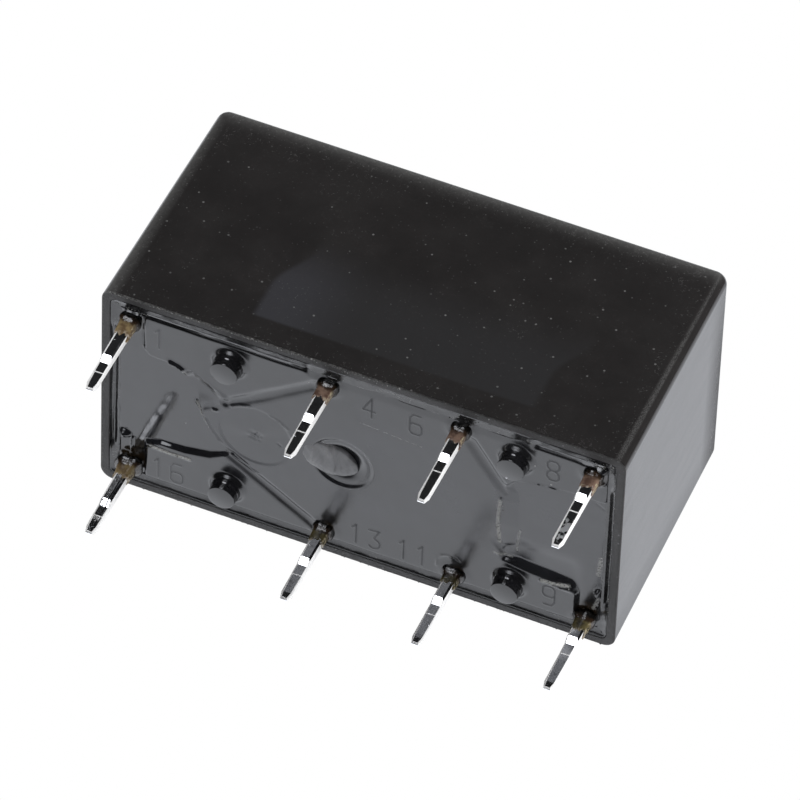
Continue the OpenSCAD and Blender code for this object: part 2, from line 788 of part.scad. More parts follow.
module make_contact(side) {
    color([0.90, 0.90, 0.88]) on_side(side)
        translate([make_face_x + contact_t, spring_y, contact_z]) mirror([1, 0, 0]) contact_head();
}

module coil_terminal_1() { coil_terminal(front); }
module coil_terminal_16() { coil_terminal(back); }
module common_terminal_4() { common_terminal(front); }
module common_terminal_13() { common_terminal(back); }
module break_terminal_6() { break_terminal(front); }
module break_terminal_11() { break_terminal(back); }
module make_terminal_8() { make_terminal(front); }
module make_terminal_9() { make_terminal(back); }
module coil_lead_1() { coil_lead(front); }
module coil_lead_16() { coil_lead(back); }
module moving_spring_4() { moving_spring(front); }
module moving_spring_13() { moving_spring(back); }
module moving_contact_4() { moving_contact(front); }
module moving_contact_13() { moving_contact(back); }
module break_contact_6() { break_contact(front); }
module break_contact_11() { break_contact(back); }
module make_contact_8() { make_contact(front); }
module make_contact_9() { make_contact(back); }

cover();
base();
rim_seal();
terminal_seals();
vent_plug();
coil_terminal_1();
coil_terminal_16();
common_terminal_4();
common_terminal_13();
break_terminal_6();
break_terminal_11();
make_terminal_8();
make_terminal_9();
bobbin();
winding();
coil_tape();
coil_lead_1();
coil_lead_16();
core();
yoke();
armature();
hinge_spring();
card();
moving_spring_4();
moving_spring_13();
moving_contact_4();
moving_contact_13();
break_contact_6();
break_contact_11();
make_contact_8();
make_contact_9();
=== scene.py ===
import json
import math

import bmesh
import bpy
import numpy as np
from mathutils import Matrix, Vector


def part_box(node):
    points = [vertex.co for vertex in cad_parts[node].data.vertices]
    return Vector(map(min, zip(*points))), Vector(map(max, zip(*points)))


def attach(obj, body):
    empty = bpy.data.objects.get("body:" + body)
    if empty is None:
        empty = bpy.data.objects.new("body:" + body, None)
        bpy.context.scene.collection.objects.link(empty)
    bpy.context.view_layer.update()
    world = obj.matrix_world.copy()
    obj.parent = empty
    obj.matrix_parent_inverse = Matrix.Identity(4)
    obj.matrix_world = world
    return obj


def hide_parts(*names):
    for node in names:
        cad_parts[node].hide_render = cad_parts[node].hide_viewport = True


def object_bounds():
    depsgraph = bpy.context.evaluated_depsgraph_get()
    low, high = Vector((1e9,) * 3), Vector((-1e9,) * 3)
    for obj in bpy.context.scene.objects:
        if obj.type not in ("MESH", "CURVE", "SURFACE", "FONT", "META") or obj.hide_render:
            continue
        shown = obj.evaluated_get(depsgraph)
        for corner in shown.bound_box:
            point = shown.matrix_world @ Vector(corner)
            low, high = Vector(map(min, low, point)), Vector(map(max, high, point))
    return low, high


# A small sealed signal relay, seen from below: glossy black cover, moulded base with resin fields,
# resin collars, coined tinned terminals, and the coil and contact train inside.
# Lengths are written in millimetres and turned to metres with MM.
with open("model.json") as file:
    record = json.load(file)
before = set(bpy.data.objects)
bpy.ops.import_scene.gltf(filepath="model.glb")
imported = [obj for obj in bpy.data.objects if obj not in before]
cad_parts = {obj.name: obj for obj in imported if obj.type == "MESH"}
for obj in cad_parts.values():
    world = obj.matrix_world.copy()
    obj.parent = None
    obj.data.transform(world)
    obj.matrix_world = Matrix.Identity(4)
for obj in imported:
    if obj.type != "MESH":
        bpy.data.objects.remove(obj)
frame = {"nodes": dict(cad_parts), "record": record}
cad_low, cad_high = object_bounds()
nodes = frame["nodes"]
MM = 0.001


def corners(node):
    """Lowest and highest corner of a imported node, in millimetres."""
    low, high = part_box(node)
    return Vector(low) / MM, Vector(high) / MM


def show(thing):
    """Puts an object into the scene."""
    bpy.context.scene.collection.objects.link(thing)


COVER_LOW, COVER_HIGH = corners("cover")
BASE_LOW, BASE_HIGH = corners("base")
SEAL_HIGH = corners("rim_seal")[1]
YOKE_LOW, YOKE_HIGH = corners("yoke")
LEAF_HIGH = corners("hinge_spring")[1]
RIM_Z = COVER_LOW.z
FLOOR_Z = RIM_Z + 1.0
WALL = 0.35
TOP_WALL = 0.5
DRAFT = 0.15
TOP_Z = COVER_HIGH.z
BODY_LEN = COVER_HIGH.x - COVER_LOW.x
BODY_WID = COVER_HIGH.y - COVER_LOW.y
HALF_LEN = BODY_LEN / 2
HALF_WID = BODY_WID / 2
BASE_LEN = BASE_HIGH.x - BASE_LOW.x
BASE_WID = BASE_HIGH.y - BASE_LOW.y
ROOM_LEN = BODY_LEN - 2 * WALL
ROOM_WID = BODY_WID - 2 * WALL
SEAL_W = 0.28
LAND_LEN = BASE_LEN - 2 * SEAL_W
LAND_WID = BASE_WID - 2 * SEAL_W
LAND_CORNER_R = 0.2
SEAL_DEEP = SEAL_HIGH.z - RIM_Z
ROW_Y = 3.81
PIN_W = 0.5
PIN_T = 0.4
PIN_NAMES = {"1": (-8.89, -1), "4": (-1.27, -1), "6": (3.81, -1), "8": (8.89, -1),
             "16": (-8.89, 1), "13": (-1.27, 1), "11": (3.81, 1), "9": (8.89, 1)}
PINS = {name: (x, side * ROW_Y) for name, (x, side) in PIN_NAMES.items()}


# Camera, at the photograph's place, on the terminals' side
CAMERA_PLACE = Vector((84.195, -253.107, -210.624))
CAMERA_RIGHT = Vector((0.91938, -0.02746, 0.39242))
CAMERA_UP = Vector((-0.3072, -0.67322, 0.67261))
CAMERA_AHEAD = Vector((-0.24572, 0.73893, 0.62738))
LENS_MM = 430.8
SENSOR_MM = 36


def add_camera():
    data = bpy.data.cameras.new("photo_camera")
    data.sensor_fit = "HORIZONTAL"
    data.sensor_width = SENSOR_MM
    data.lens = LENS_MM
    data.clip_start = 0.01
    data.clip_end = 10
    camera = bpy.data.objects.new("photo_camera", data)
    turn = Matrix((CAMERA_RIGHT, CAMERA_UP, -CAMERA_AHEAD)).transposed().to_4x4()
    camera.matrix_world = Matrix.Translation(CAMERA_PLACE * MM) @ turn
    show(camera)
    bpy.context.scene.camera = camera


# Node helpers for materials and the world
class Graph:
    """Adds nodes to one node tree and links values or sockets to their inputs."""

    def __init__(self, tree):
        self.tree = tree
        self.tree.nodes.clear()

    def add(self, kind, output=0, inputs=None, **settings):
        node = self.tree.nodes.new(kind)
        for name, value in settings.items():
            setattr(node, name, value)
        for key, value in (inputs or {}).items():
            self.put(node.inputs[key], value)
        return node.outputs[output]

    def put(self, socket, value):
        if isinstance(value, bpy.types.NodeSocket):
            self.tree.links.new(value, socket)
        else:
            socket.default_value = value

    def math(self, operation, a, b=0.0, c=0.0, clamp=False):
        inputs = {0: a, 1: b, 2: c}
        return self.add("ShaderNodeMath", inputs=inputs, operation=operation, use_clamp=clamp)

    def times(self, *values):
        """Product of several values."""
        total = values[0]
        for value in values[1:]:
            total = self.math("MULTIPLY", total, value)
        return total

    def plus(self, *values):
        """Sum of several values, held between 0 and 1."""
        total = values[0]
        for value in values[1:]:
            total = self.math("ADD", total, value, clamp=True)
        return total

    def ramp(self, value, low, high, to_low=0.0, to_high=1.0, smooth=True):
        """Value from low..high to to_low..to_high, held at the ends."""
        kind = "SMOOTHSTEP" if smooth else "LINEAR"
        inputs = {
            "Value": value, "From Min": low, "From Max": high, "To Min": to_low, "To Max": to_high
        }
        return self.add("ShaderNodeMapRange", inputs=inputs, interpolation_type=kind)

    def span(self, value, low, high, to_low=0.0, to_high=1.0, smooth=True):
        """Like ramp, between two places in millimetres."""
        return self.ramp(value, low * MM, high * MM, to_low, to_high, smooth)

    def band(self, value, middle, half, soft):
        """1 within half of the middle, falling to 0 over a soft border. All in millimetres."""
        away = self.math("ABSOLUTE", self.math("SUBTRACT", value, middle * MM))
        return self.span(away, half + soft, half)

    def mix(self, factor, a, b):
        """Colour a to colour b."""
        return self.add("ShaderNodeMix", output=2, inputs={0: factor, 6: a, 7: b}, data_type="RGBA")

    def blend(self, factor, a, b):
        """Value a to value b."""
        return self.add("ShaderNodeMix", inputs={0: factor, 2: a, 3: b}, data_type="FLOAT")

    def place(self):
        return self.add("ShaderNodeTexCoord", output="Object")

    def parts(self, vector):
        """The three parts of a vector."""
        inputs = {"Vector": vector}
        return [self.add("ShaderNodeSeparateXYZ", output=axis, inputs=inputs) for axis in "XYZ"]

    def facing(self):
        """The three parts of the surface's normal."""
        return self.parts(self.add("ShaderNodeNewGeometry", output="Normal"))

    def scaled(self, vector, scale):
        return self.add("ShaderNodeMapping", inputs={"Vector": vector, "Scale": scale})

    def noise(self, vector, per_mm, detail=3.0, rough=0.5, distortion=0.0):
        """Noise with about per_mm blotches to the millimetre."""
        inputs = {
            "Vector": vector, "Scale": per_mm / MM, "Detail": detail,
            "Roughness": rough, "Distortion": distortion
        }
        return self.add("ShaderNodeTexNoise", inputs=inputs)

    def specks(self, vector, per_mm, size, share=0.25):
        """Round specks, 1 in their middle, in a share of the cells of a grid of per_mm cells."""
        node = self.add("ShaderNodeTexVoronoi", inputs={"Vector": vector, "Scale": per_mm / MM}).node
        near = self.ramp(node.outputs["Distance"], size, size * 0.5)
        chosen = self.add("ShaderNodeSeparateColor", inputs={"Color": node.outputs["Color"]})
        return self.math("MULTIPLY", near, self.ramp(chosen, 1 - share, 1.04 - share))

    def bump(self, height, distance_mm, strength=1.0, under=None):
        inputs = {"Height": height, "Distance": distance_mm * MM, "Strength": strength}
        if under is not None:
            inputs["Normal"] = under
        return self.add("ShaderNodeBump", inputs=inputs)

    def finish(self, kind, surface):
        """Adds the output node and links what it shows."""
        out = self.tree.nodes.new(kind)
        self.put(out.inputs["Surface"], surface)

    def dress(self, sockets, color, rough, normal, **fixed):
        """Gives the main shader its colour, roughness and normal, and sets its other values."""
        for name, value in {"Base Color": color, "Roughness": rough, "Normal": normal}.items():
            self.put(sockets[name], value)
        for name, value in fixed.items():
            sockets[name].default_value = value


def rgb(r, g, b):
    return (r, g, b, 1.0)


def gray(tone):
    return rgb(tone, tone, tone)


def surface(name):
    """New material, its graph, the inputs of its main shader and the place of each point."""
    material = bpy.data.materials.new(name)
    material.use_nodes = True
    graph = Graph(material.node_tree)
    shader = graph.add("ShaderNodeBsdfPrincipled")
    graph.finish("ShaderNodeOutputMaterial", shader)
    return material, graph, shader.node.inputs, graph.place()


# Materials

# Middle and half width of the painted sheen, a lighter patch that stands in for a reflection on the
# cover's long face
PAINTED_SHEEN_X = 0.7
PAINTED_SHEEN_HALF = 5.2
# Steepness of the bow in the +X face towards the top, and towards the +Y side
BOW_TOP = 0.085
BOW_SIDE = 0.02


def cover_plastic():
    """Polished black moulding: fine dusting and scuffs that thicken towards its edges, a crusty rim, and
    a painted sheen on its long face.
    """
    material, g, sockets, at = surface("cover_plastic")
    x, y, z = g.parts(at)
    facing_x, facing_y, facing_z = [g.math("ABSOLUTE", part) for part in g.facing()]
    far_x, far_y = g.math("ABSOLUTE", x), g.math("ABSOLUTE", y)
    end_x = g.span(far_x, HALF_LEN - 1.6, HALF_LEN - 0.2)
    end_y = g.span(far_y, HALF_WID - 1.2, HALF_WID - 0.2)
    top = g.span(z, TOP_Z - 2.2, TOP_Z - 0.2)
    low = g.span(z, RIM_Z + 1.4, RIM_Z + 0.1)
    near_edge = g.plus(
        g.times(end_x, g.ramp(facing_x, 0.7, 0.4)),
        g.times(end_y, g.ramp(facing_y, 0.7, 0.4)),
        g.times(top, g.ramp(facing_z, 0.7, 0.4)),
        g.times(low, g.ramp(facing_x, 0.9, 0.3), 0.5)
    )
    fine = g.noise(at, 10.0, detail=6.0, rough=0.75)
    grit = g.noise(at, 26.0, detail=3.0, rough=0.7)
    cloud = g.noise(at, 0.4, detail=5.0, rough=0.6)
    streak = g.noise(g.scaled(at, (1.0, 1.0, 0.16)), 2.6, detail=4.0, rough=0.6)
    flake = g.noise(at, 4.5, detail=4.0, rough=0.7, distortion=1.4)
    turned = g.ramp(facing_x, 0.12, 0.3)
    wear = g.plus(g.ramp(cloud, 0.45, 0.75, 0.1, 0.8), g.times(near_edge, 0.8))
    rubbing = g.times(g.ramp(flake, 0.53, 0.7), g.ramp(grit, 0.36, 0.6))
    scuff = g.times(wear, rubbing, g.ramp(facing_x, 0.25, 0.12))
    pale_specks = g.times(g.specks(at, 2.6, 0.14, share=0.3), g.ramp(flake, 0.3, 0.6, 0.3, 1.0))
    dust_fine = g.times(g.specks(at, 6.5, 0.22, share=0.3), g.ramp(near_edge, 0.0, 1.0, 0.35, 1.0))
    stripe = g.times(
        g.band(x, HALF_LEN - 0.34, 0.04, 0.12), g.ramp(facing_y, 0.8, 0.9), g.ramp(grit, 0.4, 0.6)
    )
    right_corner = g.times(turned, g.span(x, 0.0, 1.0))
    clean = g.ramp(right_corner, 1.0, 0.0)
    worn_top = g.times(g.span(z, TOP_Z - 0.5, TOP_Z - 0.1), clean)
    worn_left = g.times(
        g.ramp(facing_x, 0.2, 0.9), g.span(x, -9.0, -9.4), g.ramp(facing_y, 0.1, 0.3)
    )
    worn = g.times(g.math("MAXIMUM", worn_top, worn_left), g.ramp(grit, 0.3, 0.6, 0.5, 1.0))
    # Painted sheen: a lighter, bluish patch on the -Y face, brightest at its left end, in place of a
    # reflection
    painted_sheen_x = g.math("SUBTRACT", x, g.span(z, 3.4, 5.6, 0.0, 0.8 * MM))
    patch = g.times(
        g.band(painted_sheen_x, PAINTED_SHEEN_X, PAINTED_SHEEN_HALF, 0.3),
        g.span(z, 1.62, 1.78),
        g.span(z, 6.4, 3.4),
        g.span(y, -4.0, -4.4)
    )
    painted_sheen_left = g.span(x, -1.0, -4.0)
    plain = g.mix(g.ramp(cloud, 0.3, 0.7), rgb(0.0215, 0.0200, 0.0200), rgb(0.0285, 0.0265, 0.0265))
    painted_sheen_tone = g.mix(painted_sheen_left, rgb(0.0325, 0.0320, 0.0335), rgb(0.046, 0.046, 0.052))
    sheen = g.mix(patch, plain, painted_sheen_tone)
    scuffed = g.mix(g.times(scuff, 0.5), sheen, rgb(0.085, 0.083, 0.082))
    rubbed = g.mix(g.times(worn, 0.75), scuffed, rgb(0.085, 0.085, 0.083))
    specks = g.plus(g.times(pale_specks, 0.9), g.times(dust_fine, 0.4))
    grey = g.plus(g.times(specks, clean), g.times(stripe, 0.4))
    dusty = g.mix(grey, rubbed, gray(0.2))
    rise = g.span(z, TOP_Z - 1.4, TOP_Z - 0.05, smooth=False)
    side = g.span(x, -9.3, -10.05, smooth=False)
    haze_top = g.times(
        g.math("POWER", rise, 3.5), g.ramp(facing_z, 0.98, 0.8), g.ramp(facing_x, 0.9, 0.3)
    )
    haze_left = g.times(g.math("POWER", side, 1.2), g.ramp(facing_y, 0.02, 0.25), 0.8)
    uneven = g.ramp(flake, 0.3, 0.7, 0.75, 1.25)
    haze = g.times(g.math("MAXIMUM", haze_top, haze_left), uneven)
    hazy = g.mix(haze, dusty, rgb(0.17, 0.17, 0.168))
    lip = g.span(z, RIM_Z + 0.05, RIM_Z + 0.015)
    outer = g.math(
        "MAXIMUM",
        g.span(far_x, HALF_LEN - 0.12, HALF_LEN - 0.06),
        g.span(far_y, HALF_WID - 0.14, HALF_WID - 0.06)
    )
    crust = g.times(lip, outer, g.ramp(fine, 0.44, 0.58), g.ramp(cloud, 0.3, 0.5, 0.35, 1.0))
    pale = g.mix(g.span(x, -1.0, 3.0), rgb(0.16, 0.16, 0.155), gray(0.07))
    color = g.mix(crust, hazy, pale)
    rough = g.ramp(streak, 0.3, 0.75, 0.12, 0.19)
    end_face = g.times(g.span(x, 9.0, 9.4), g.ramp(facing_x, 0.9, 0.98))
    end_side = g.times(end_face, g.span(y, -4.6, 1.5, 0.2, 1.0))
    end_top = g.times(end_side, g.span(z, TOP_Z - 1.2, TOP_Z - 0.2))
    dulled = g.plus(
        g.times(scuff, 0.3), g.times(crust, 0.4), g.times(low, 0.05),
        g.times(lip, 0.3), g.times(end_top, 0.25), g.times(worn, 0.15)
    )
    grain = g.bump(g.plus(g.times(fine, 0.5), g.times(streak, 0.5)), 0.0016)
    crumbs = g.bump(g.times(fine, lip), 0.05, under=grain)
    over_z = g.math("MAXIMUM", g.math("SUBTRACT", z, (TOP_Z - 1.8) * MM), 0.0)
    over_y = g.math("MAXIMUM", g.math("SUBTRACT", y, 3.0 * MM), 0.0)
    bow_top = g.times(over_z, over_z, end_side, BOW_TOP / MM / MM)
    bow_side = g.times(over_y, over_y, end_face, BOW_SIDE / MM / MM)
    leaning = g.bump(g.math("ADD", bow_top, bow_side), 1.0, under=crumbs)
    normal = g.bump(g.times(grit, end_top), 0.02, under=leaning)
    g.dress(sockets, color, g.math("ADD", rough, dulled), normal, IOR=1.5)
    return material


# Ends of the scratch on the base
SCRATCH_FROM = (0.05, -2.46)
SCRATCH_TO = (2.35, -2.26)


def base_plastic():
    """Glossy dark moulding, wetted by resin, with mottling, pale crust, a scratch and a few pale specks;
    the specks and parts of the crust are painted glints.
    """
    material, g, sockets, at = surface("base_plastic")
    x, y, _ = g.parts(at)
    marks = g.add("ShaderNodeAttribute", output="Color", attribute_name="marks")
    strokes = g.add("ShaderNodeAttribute", output="Alpha", attribute_name="marks")
    crust_and_glint_area, brown_area, haze_area = [
        g.add("ShaderNodeSeparateColor", output=name, inputs={"Color": marks})
        for name in ("Red", "Green", "Blue")
    ]
    cloud = g.noise(at, 0.45, detail=3.0)
    fine = g.noise(at, 7.0, detail=4.0, rough=0.6)
    grit = g.noise(at, 17.0, detail=4.0, rough=0.7)
    # Pale specks on the base: painted glints
    pale_specks = g.specks(at, 1.5, 0.07, share=0.2)
    (from_x, from_y), (to_x, to_y) = SCRATCH_FROM, SCRATCH_TO
    slope = (to_y - from_y) / (to_x - from_x)
    line = g.math("SUBTRACT", y, g.times(g.math("SUBTRACT", x, from_x * MM), slope))
    scratch = g.times(
        g.band(line, from_y, 0.006, 0.014),
        g.band(x, (from_x + to_x) / 2, (to_x - from_x) / 2, 0.1),
        g.ramp(fine, 0.42, 0.52)
    )
    # Pale crust, and painted glints below the arrow mark and along the pad by terminal 16
    crust = g.times(crust_and_glint_area, g.ramp(grit, 0.40, 0.52))
    pads = g.span(g.math("ABSOLUTE", y), 1.6, 3.4)
    field = g.mix(g.ramp(cloud, 0.3, 0.7), rgb(0.015, 0.015, 0.018), rgb(0.024, 0.025, 0.030))
    pad = g.mix(g.ramp(cloud, 0.3, 0.7), rgb(0.009, 0.009, 0.010), rgb(0.014, 0.014, 0.016))
    tone = g.mix(pads, field, pad)
    browned = g.mix(brown_area, tone, rgb(0.022, 0.015, 0.009))
    specked = g.mix(g.plus(pale_specks, g.times(scratch, 0.6)), browned, rgb(0.42, 0.42, 0.41))
    color = g.mix(crust, specked, rgb(0.55, 0.55, 0.53))
    wet = g.ramp(g.noise(at, 1.3, detail=5.0), 0.3, 0.75, 0.06, 0.12)
    rough = g.plus(wet, g.times(haze_area, 0.13), g.times(crust, 0.4), g.times(strokes, 0.5))
    normal = g.bump(g.times(grit, crust_and_glint_area), 0.03, under=g.bump(fine, 0.0012))
    g.dress(sockets, color, rough, normal, IOR=1.58)
    return material


def seal_resin():
    """Dark glossy resin in the groove, level with the rim, with a few dull patches."""
    material, g, sockets, at = surface("seal_resin")
    fine = g.noise(at, 12.0, detail=5.0, rough=0.7)
    patch = g.noise(at, 1.2, detail=3.0)
    dull = g.times(g.ramp(fine, 0.54, 0.64), g.ramp(patch, 0.5, 0.68))
    tone = g.mix(g.ramp(patch, 0.35, 0.65), rgb(0.015, 0.015, 0.016), rgb(0.03, 0.03, 0.032))
    color = g.mix(dull, tone, rgb(0.16, 0.16, 0.155))
    g.dress(sockets, color, g.ramp(dull, 0.0, 1.0, 0.12, 0.4), g.bump(fine, 0.004), IOR=1.56)
    return material


def crumb_resin():
    """Pale, dry crumbs of resin."""
    material, g, sockets, at = surface("crumb_resin")
    tone = g.mix(g.ramp(g.noise(at, 9.0), 0.42, 0.6), gray(0.03), rgb(0.36, 0.36, 0.35))
    g.dress(sockets, tone, 0.3, g.bump(g.noise(at, 30.0), 0.01))
    return material


def collar_resin():
    """Resin that is black where it is thick, at the base, and amber where it thins on the metal."""
    material, g, sockets, at = surface("collar_resin")
    x, y, z = g.parts(at)
    blotch = g.noise(at, 3.0, detail=4.0, rough=0.6)
    fine = g.noise(at, 9.0, detail=4.0)
    level = g.math("ADD", z, g.times(g.math("SUBTRACT", blotch, 0.5), 0.3 * MM))
    brown = g.span(level, RIM_Z - 0.12, RIM_Z - 0.26)
    thin = g.span(level, RIM_Z - 0.26, RIM_Z - 0.46)
    end = g.times(g.span(z, RIM_Z - 0.70, RIM_Z - 0.80), g.ramp(fine, 0.44, 0.58))
    back = g.span(y, -1.0, 1.0)
    coil_side = g.span(x, -7.0, -8.0)
    amber = g.mix(back, rgb(0.24, 0.16, 0.12), rgb(0.12, 0.10, 0.045))
    amber_dark = g.mix(back, rgb(0.10, 0.06, 0.045), rgb(0.03, 0.025, 0.014))
    amber = g.mix(coil_side, amber, rgb(0.30, 0.225, 0.115))
    amber_dark = g.mix(coil_side, amber_dark, rgb(0.15, 0.10, 0.055))
    lit_side = g.ramp(g.facing()[0], 0.55, 0.85)
    film = g.mix(g.ramp(blotch, 0.4, 0.62), amber, amber_dark)
    film = g.mix(g.times(lit_side, g.ramp(fine, 0.4, 0.6)), film, rgb(0.42, 0.36, 0.24))
    deep = g.mix(brown, rgb(0.005, 0.0045, 0.004), rgb(0.03, 0.018, 0.011))
    body = g.mix(thin, deep, film)
    normal = g.bump(g.math("ADD", blotch, g.times(fine, 0.3)), 0.04)
    g.dress(sockets, g.mix(end, body, rgb(0.33, 0.27, 0.20)), 0.1, normal, IOR=1.55)
    return material


def plug_resin():
    """Cloudy grey resin with ripples."""
    material, g, sockets, at = surface("plug_resin")
    streak = g.noise(g.scaled(at, (1.0, 0.5, 1.0)), 1.5, detail=4.0, rough=0.55, distortion=0.5)
    tone = g.mix(g.ramp(streak, 0.35, 0.65), rgb(0.12, 0.122, 0.13), rgb(0.23, 0.23, 0.24))
    g.dress(sockets, tone, g.ramp(streak, 0.3, 0.7, 0.16, 0.3), g.bump(streak, 0.015))
    return material


# Blotchy, half dulled place on the coined face of terminal 8
DULL_PLACE = (8.89, -4.0, -2.25)
DULL_HALF = (0.2, 0.2, 0.42)
DULL_SOFT = (0.1, 0.2, 0.25)
# How much the face of terminal 16 leans, as a slope
LEAN = 0.1


def tinned_metal(name, color, rough, brush_along, scarred=False):
    """Metal with fine brush lines along one axis and soft blotches."""
    material, g, sockets, at = surface(name)
    stretch = [1.0 if axis == brush_along else 9.0 for axis in "XYZ"]
    lines = g.noise(g.scaled(at, stretch), 2.2, detail=5.0, rough=0.6)
    blotch = g.noise(at, 2.4, detail=5.0, rough=0.65)
    stain = g.ramp(blotch, 0.52, 0.68)
    dull = rgb(*[part * 0.62 for part in color])
    tone = g.mix(stain, rgb(*color), dull)
    roughness = g.ramp(blotch, 0.35, 0.7, rough, rough + 0.07)
    height = lines
    deep = 0.0022
    if scarred:
        x, y, z = g.parts(at)
        bands = [g.band(*given) for given in zip((x, y, z), DULL_PLACE, DULL_HALF, DULL_SOFT)]
        patch = g.times(*bands, g.ramp(g.noise(at, 4.2, detail=3.0), 0.46, 0.54))
        tone = g.mix(patch, tone, gray(0.9))
        roughness = g.plus(roughness, g.times(patch, 0.55))
        cross = g.noise(g.scaled(at, (0.25, 1.0, 2.6)), 3.4, detail=2.0)
        nick = g.times(g.ramp(cross, 0.68, 0.73), g.ramp(blotch, 0.45, 0.55))
        height = g.math("ADD", lines, g.times(nick, 3.0))
        deep = 0.003
    normal = g.bump(height, deep)
    if scarred:
        leaning = g.times(g.span(x, -8.0, -8.1), g.span(y, 3.0, 3.1))
        middle = g.times(g.band(x, -8.92, 0.09, 0.05), g.ramp(blotch, 0.36, 0.46))
        front = g.ramp(g.facing()[1], -0.5, -0.8)
        lean = g.times(leaning, middle, front, z, LEAN / MM)
        normal = g.bump(lean, 1.0, under=normal)
    g.dress(sockets, tone, roughness, normal, Metallic=1.0)
    return material


def sheared_tin_and_painted_glint():
    """Bright, satin tin on the sheared sides of the terminals; on their blunted edges, ramps, reliefs and
    tips it is a painted glint.
    """
    material, g, sockets, at = surface("sheared_tin_and_painted_glint")
    lines = g.noise(g.scaled(at, (9.0, 9.0, 1.2)), 2.0, detail=4.0)
    tone = g.mix(g.ramp(lines, 0.3, 0.42), rgb(0.8, 0.8, 0.81), gray(1.0))
    g.dress(sockets, tone, g.ramp(lines, 0.3, 0.6, 0.5, 0.36), g.bump(lines, 0.004))
    return material


def moulded(name, color, rough):
    """Plain moulded plastic with soft mottling and a fine grain."""
    material, g, sockets, at = surface(name)
    cloud = g.noise(at, 0.8, detail=4.0)
    shade = rgb(*[part * 0.82 for part in color])
    tone = g.mix(g.ramp(cloud, 0.3, 0.7), rgb(*color), shade)
    roughness = g.ramp(cloud, 0.3, 0.7, rough, rough + 0.12)
    g.dress(sockets, tone, roughness, g.bump(g.noise(at, 14.0, detail=3.0), 0.004))
    return material


def wound_copper():
    """Enamelled wire laid turn by turn, as fine ridges round the coil."""
    material, g, sockets, at = surface("copper_wire")
    inputs = {"Vector": at, "Scale": 8.0 / MM, "Distortion": 0.4, "Detail": 1.0}
    turns = g.add("ShaderNodeTexWave", output="Fac", inputs=inputs, bands_direction="X")
    cloud = g.noise(at, 1.0, detail=3.0)
    tone = g.mix(cloud, rgb(0.62, 0.27, 0.11), rgb(0.42, 0.15, 0.06))
    # Darker copper in the grooves between turns: painted shade
    color = g.mix(turns, rgb(0.28, 0.10, 0.04), tone)
    g.dress(sockets, color, 0.28, g.bump(turns, 0.03), Metallic=0.7)
    return material


def amber_film():
    """Thin amber film with faint wrinkles."""
    material, g, sockets, at = surface("coil_tape")
    wrinkle = g.noise(g.scaled(at, (0.4, 2.0, 2.0)), 1.4, detail=4.0)
    tone = g.mix(wrinkle, rgb(0.75, 0.50, 0.10), rgb(0.85, 0.68, 0.22))
    g.dress(sockets, tone, 0.16, g.bump(wrinkle, 0.03), IOR=1.5)
    return material


MATERIALS = {
    "cover_plastic": cover_plastic(),
    "base_plastic": base_plastic(),
    "seal_resin": seal_resin(),
    "collar_resin": collar_resin(),
    "plug_resin": plug_resin(),
    "tinned_terminal": tinned_metal("tinned_terminal", (0.82, 0.82, 0.83), 0.08, "Z", scarred=True),
    "bobbin_plastic": moulded("bobbin_plastic", (0.80, 0.77, 0.66), 0.4),
    "copper_wire": wound_copper(),
    "coil_tape": amber_film(),
    "soft_iron": tinned_metal("soft_iron", (0.56, 0.56, 0.58), 0.3, "X"),
    "spring_bronze": tinned_metal("spring_bronze", (0.80, 0.56, 0.30), 0.2, "Z"),
    "card_plastic": moulded("card_plastic", (0.85, 0.85, 0.80), 0.38),
    "contact_silver": tinned_metal("contact_silver", (0.88, 0.88, 0.86), 0.16, "Y"),
}
SHEARED_TIN_AND_PAINTED_GLINT = sheared_tin_and_painted_glint()
CRUMB_RESIN = crumb_resin()


# Mesh helpers, and the distance within which doubled points are merged
MERGE_DIST = 0.0005


def finish_piece(name, bm, slot, replaced=(), sharp_angle=None, flat_faces=False, material=None):
    """Makes a piece from a mesh in millimetres, gives it its finish and lets it ride on the housing."""
    bmesh.ops.scale(bm, vec=(MM, MM, MM), verts=bm.verts)
    mesh = bpy.data.meshes.new(name)
    bm.to_mesh(mesh)
    bm.free()
    mesh.materials.append(material or MATERIALS[slot])
    mesh.shade_smooth()
    if sharp_angle is not None:
        mesh.set_sharp_from_angle(angle=math.radians(sharp_angle))
    piece = bpy.data.objects.new(name, mesh)
    show(piece)
    if flat_faces:
        weighted = piece.modifiers.new("flat_faces", "WEIGHTED_NORMAL")
        weighted.keep_sharp = True
    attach(piece, "housing")
    if replaced:
        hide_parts(*replaced)
    return piece


def open_edges(bm):
    return [e for e in bm.edges if e.is_boundary]


def bevel(bm, edges, offset, segments, clamp=False):
    """Rounds edges, or blunts them with one segment."""
    bmesh.ops.bevel(
        bm, geom=edges, offset=offset, segments=segments, affect="EDGES", profile=0.5, material=-1,
        clamp_overlap=clamp
    )


def smooth_step(low, high, value):
    t = np.clip((value - low) / (high - low), 0, 1)
    return t * t * (3 - 2 * t)


def even_step(low, high, value):
    """Like smooth_step, but nearly straight, so that a wall keeps one slope over most of its width."""
    t = np.clip((value - low) / (high - low), 0, 1)
    return 0.75 * t + 0.25 * t * t * (3 - 2 * t)


def segment_distance(x, y, a, b):
    """Distance from each point to the straight line between a and b."""
    dx, dy = b[0] - a[0], b[1] - a[1]
    along = np.clip(((x - a[0]) * dx + (y - a[1]) * dy) / (dx * dx + dy * dy), 0, 1)
    return np.hypot(x - a[0] - along * dx, y - a[1] - along * dy)


def path_distance(x, y, points):
    """Distance to a line through points."""
    return np.minimum.reduce([segment_distance(x, y, a, b) for a, b in zip(points, points[1:])])


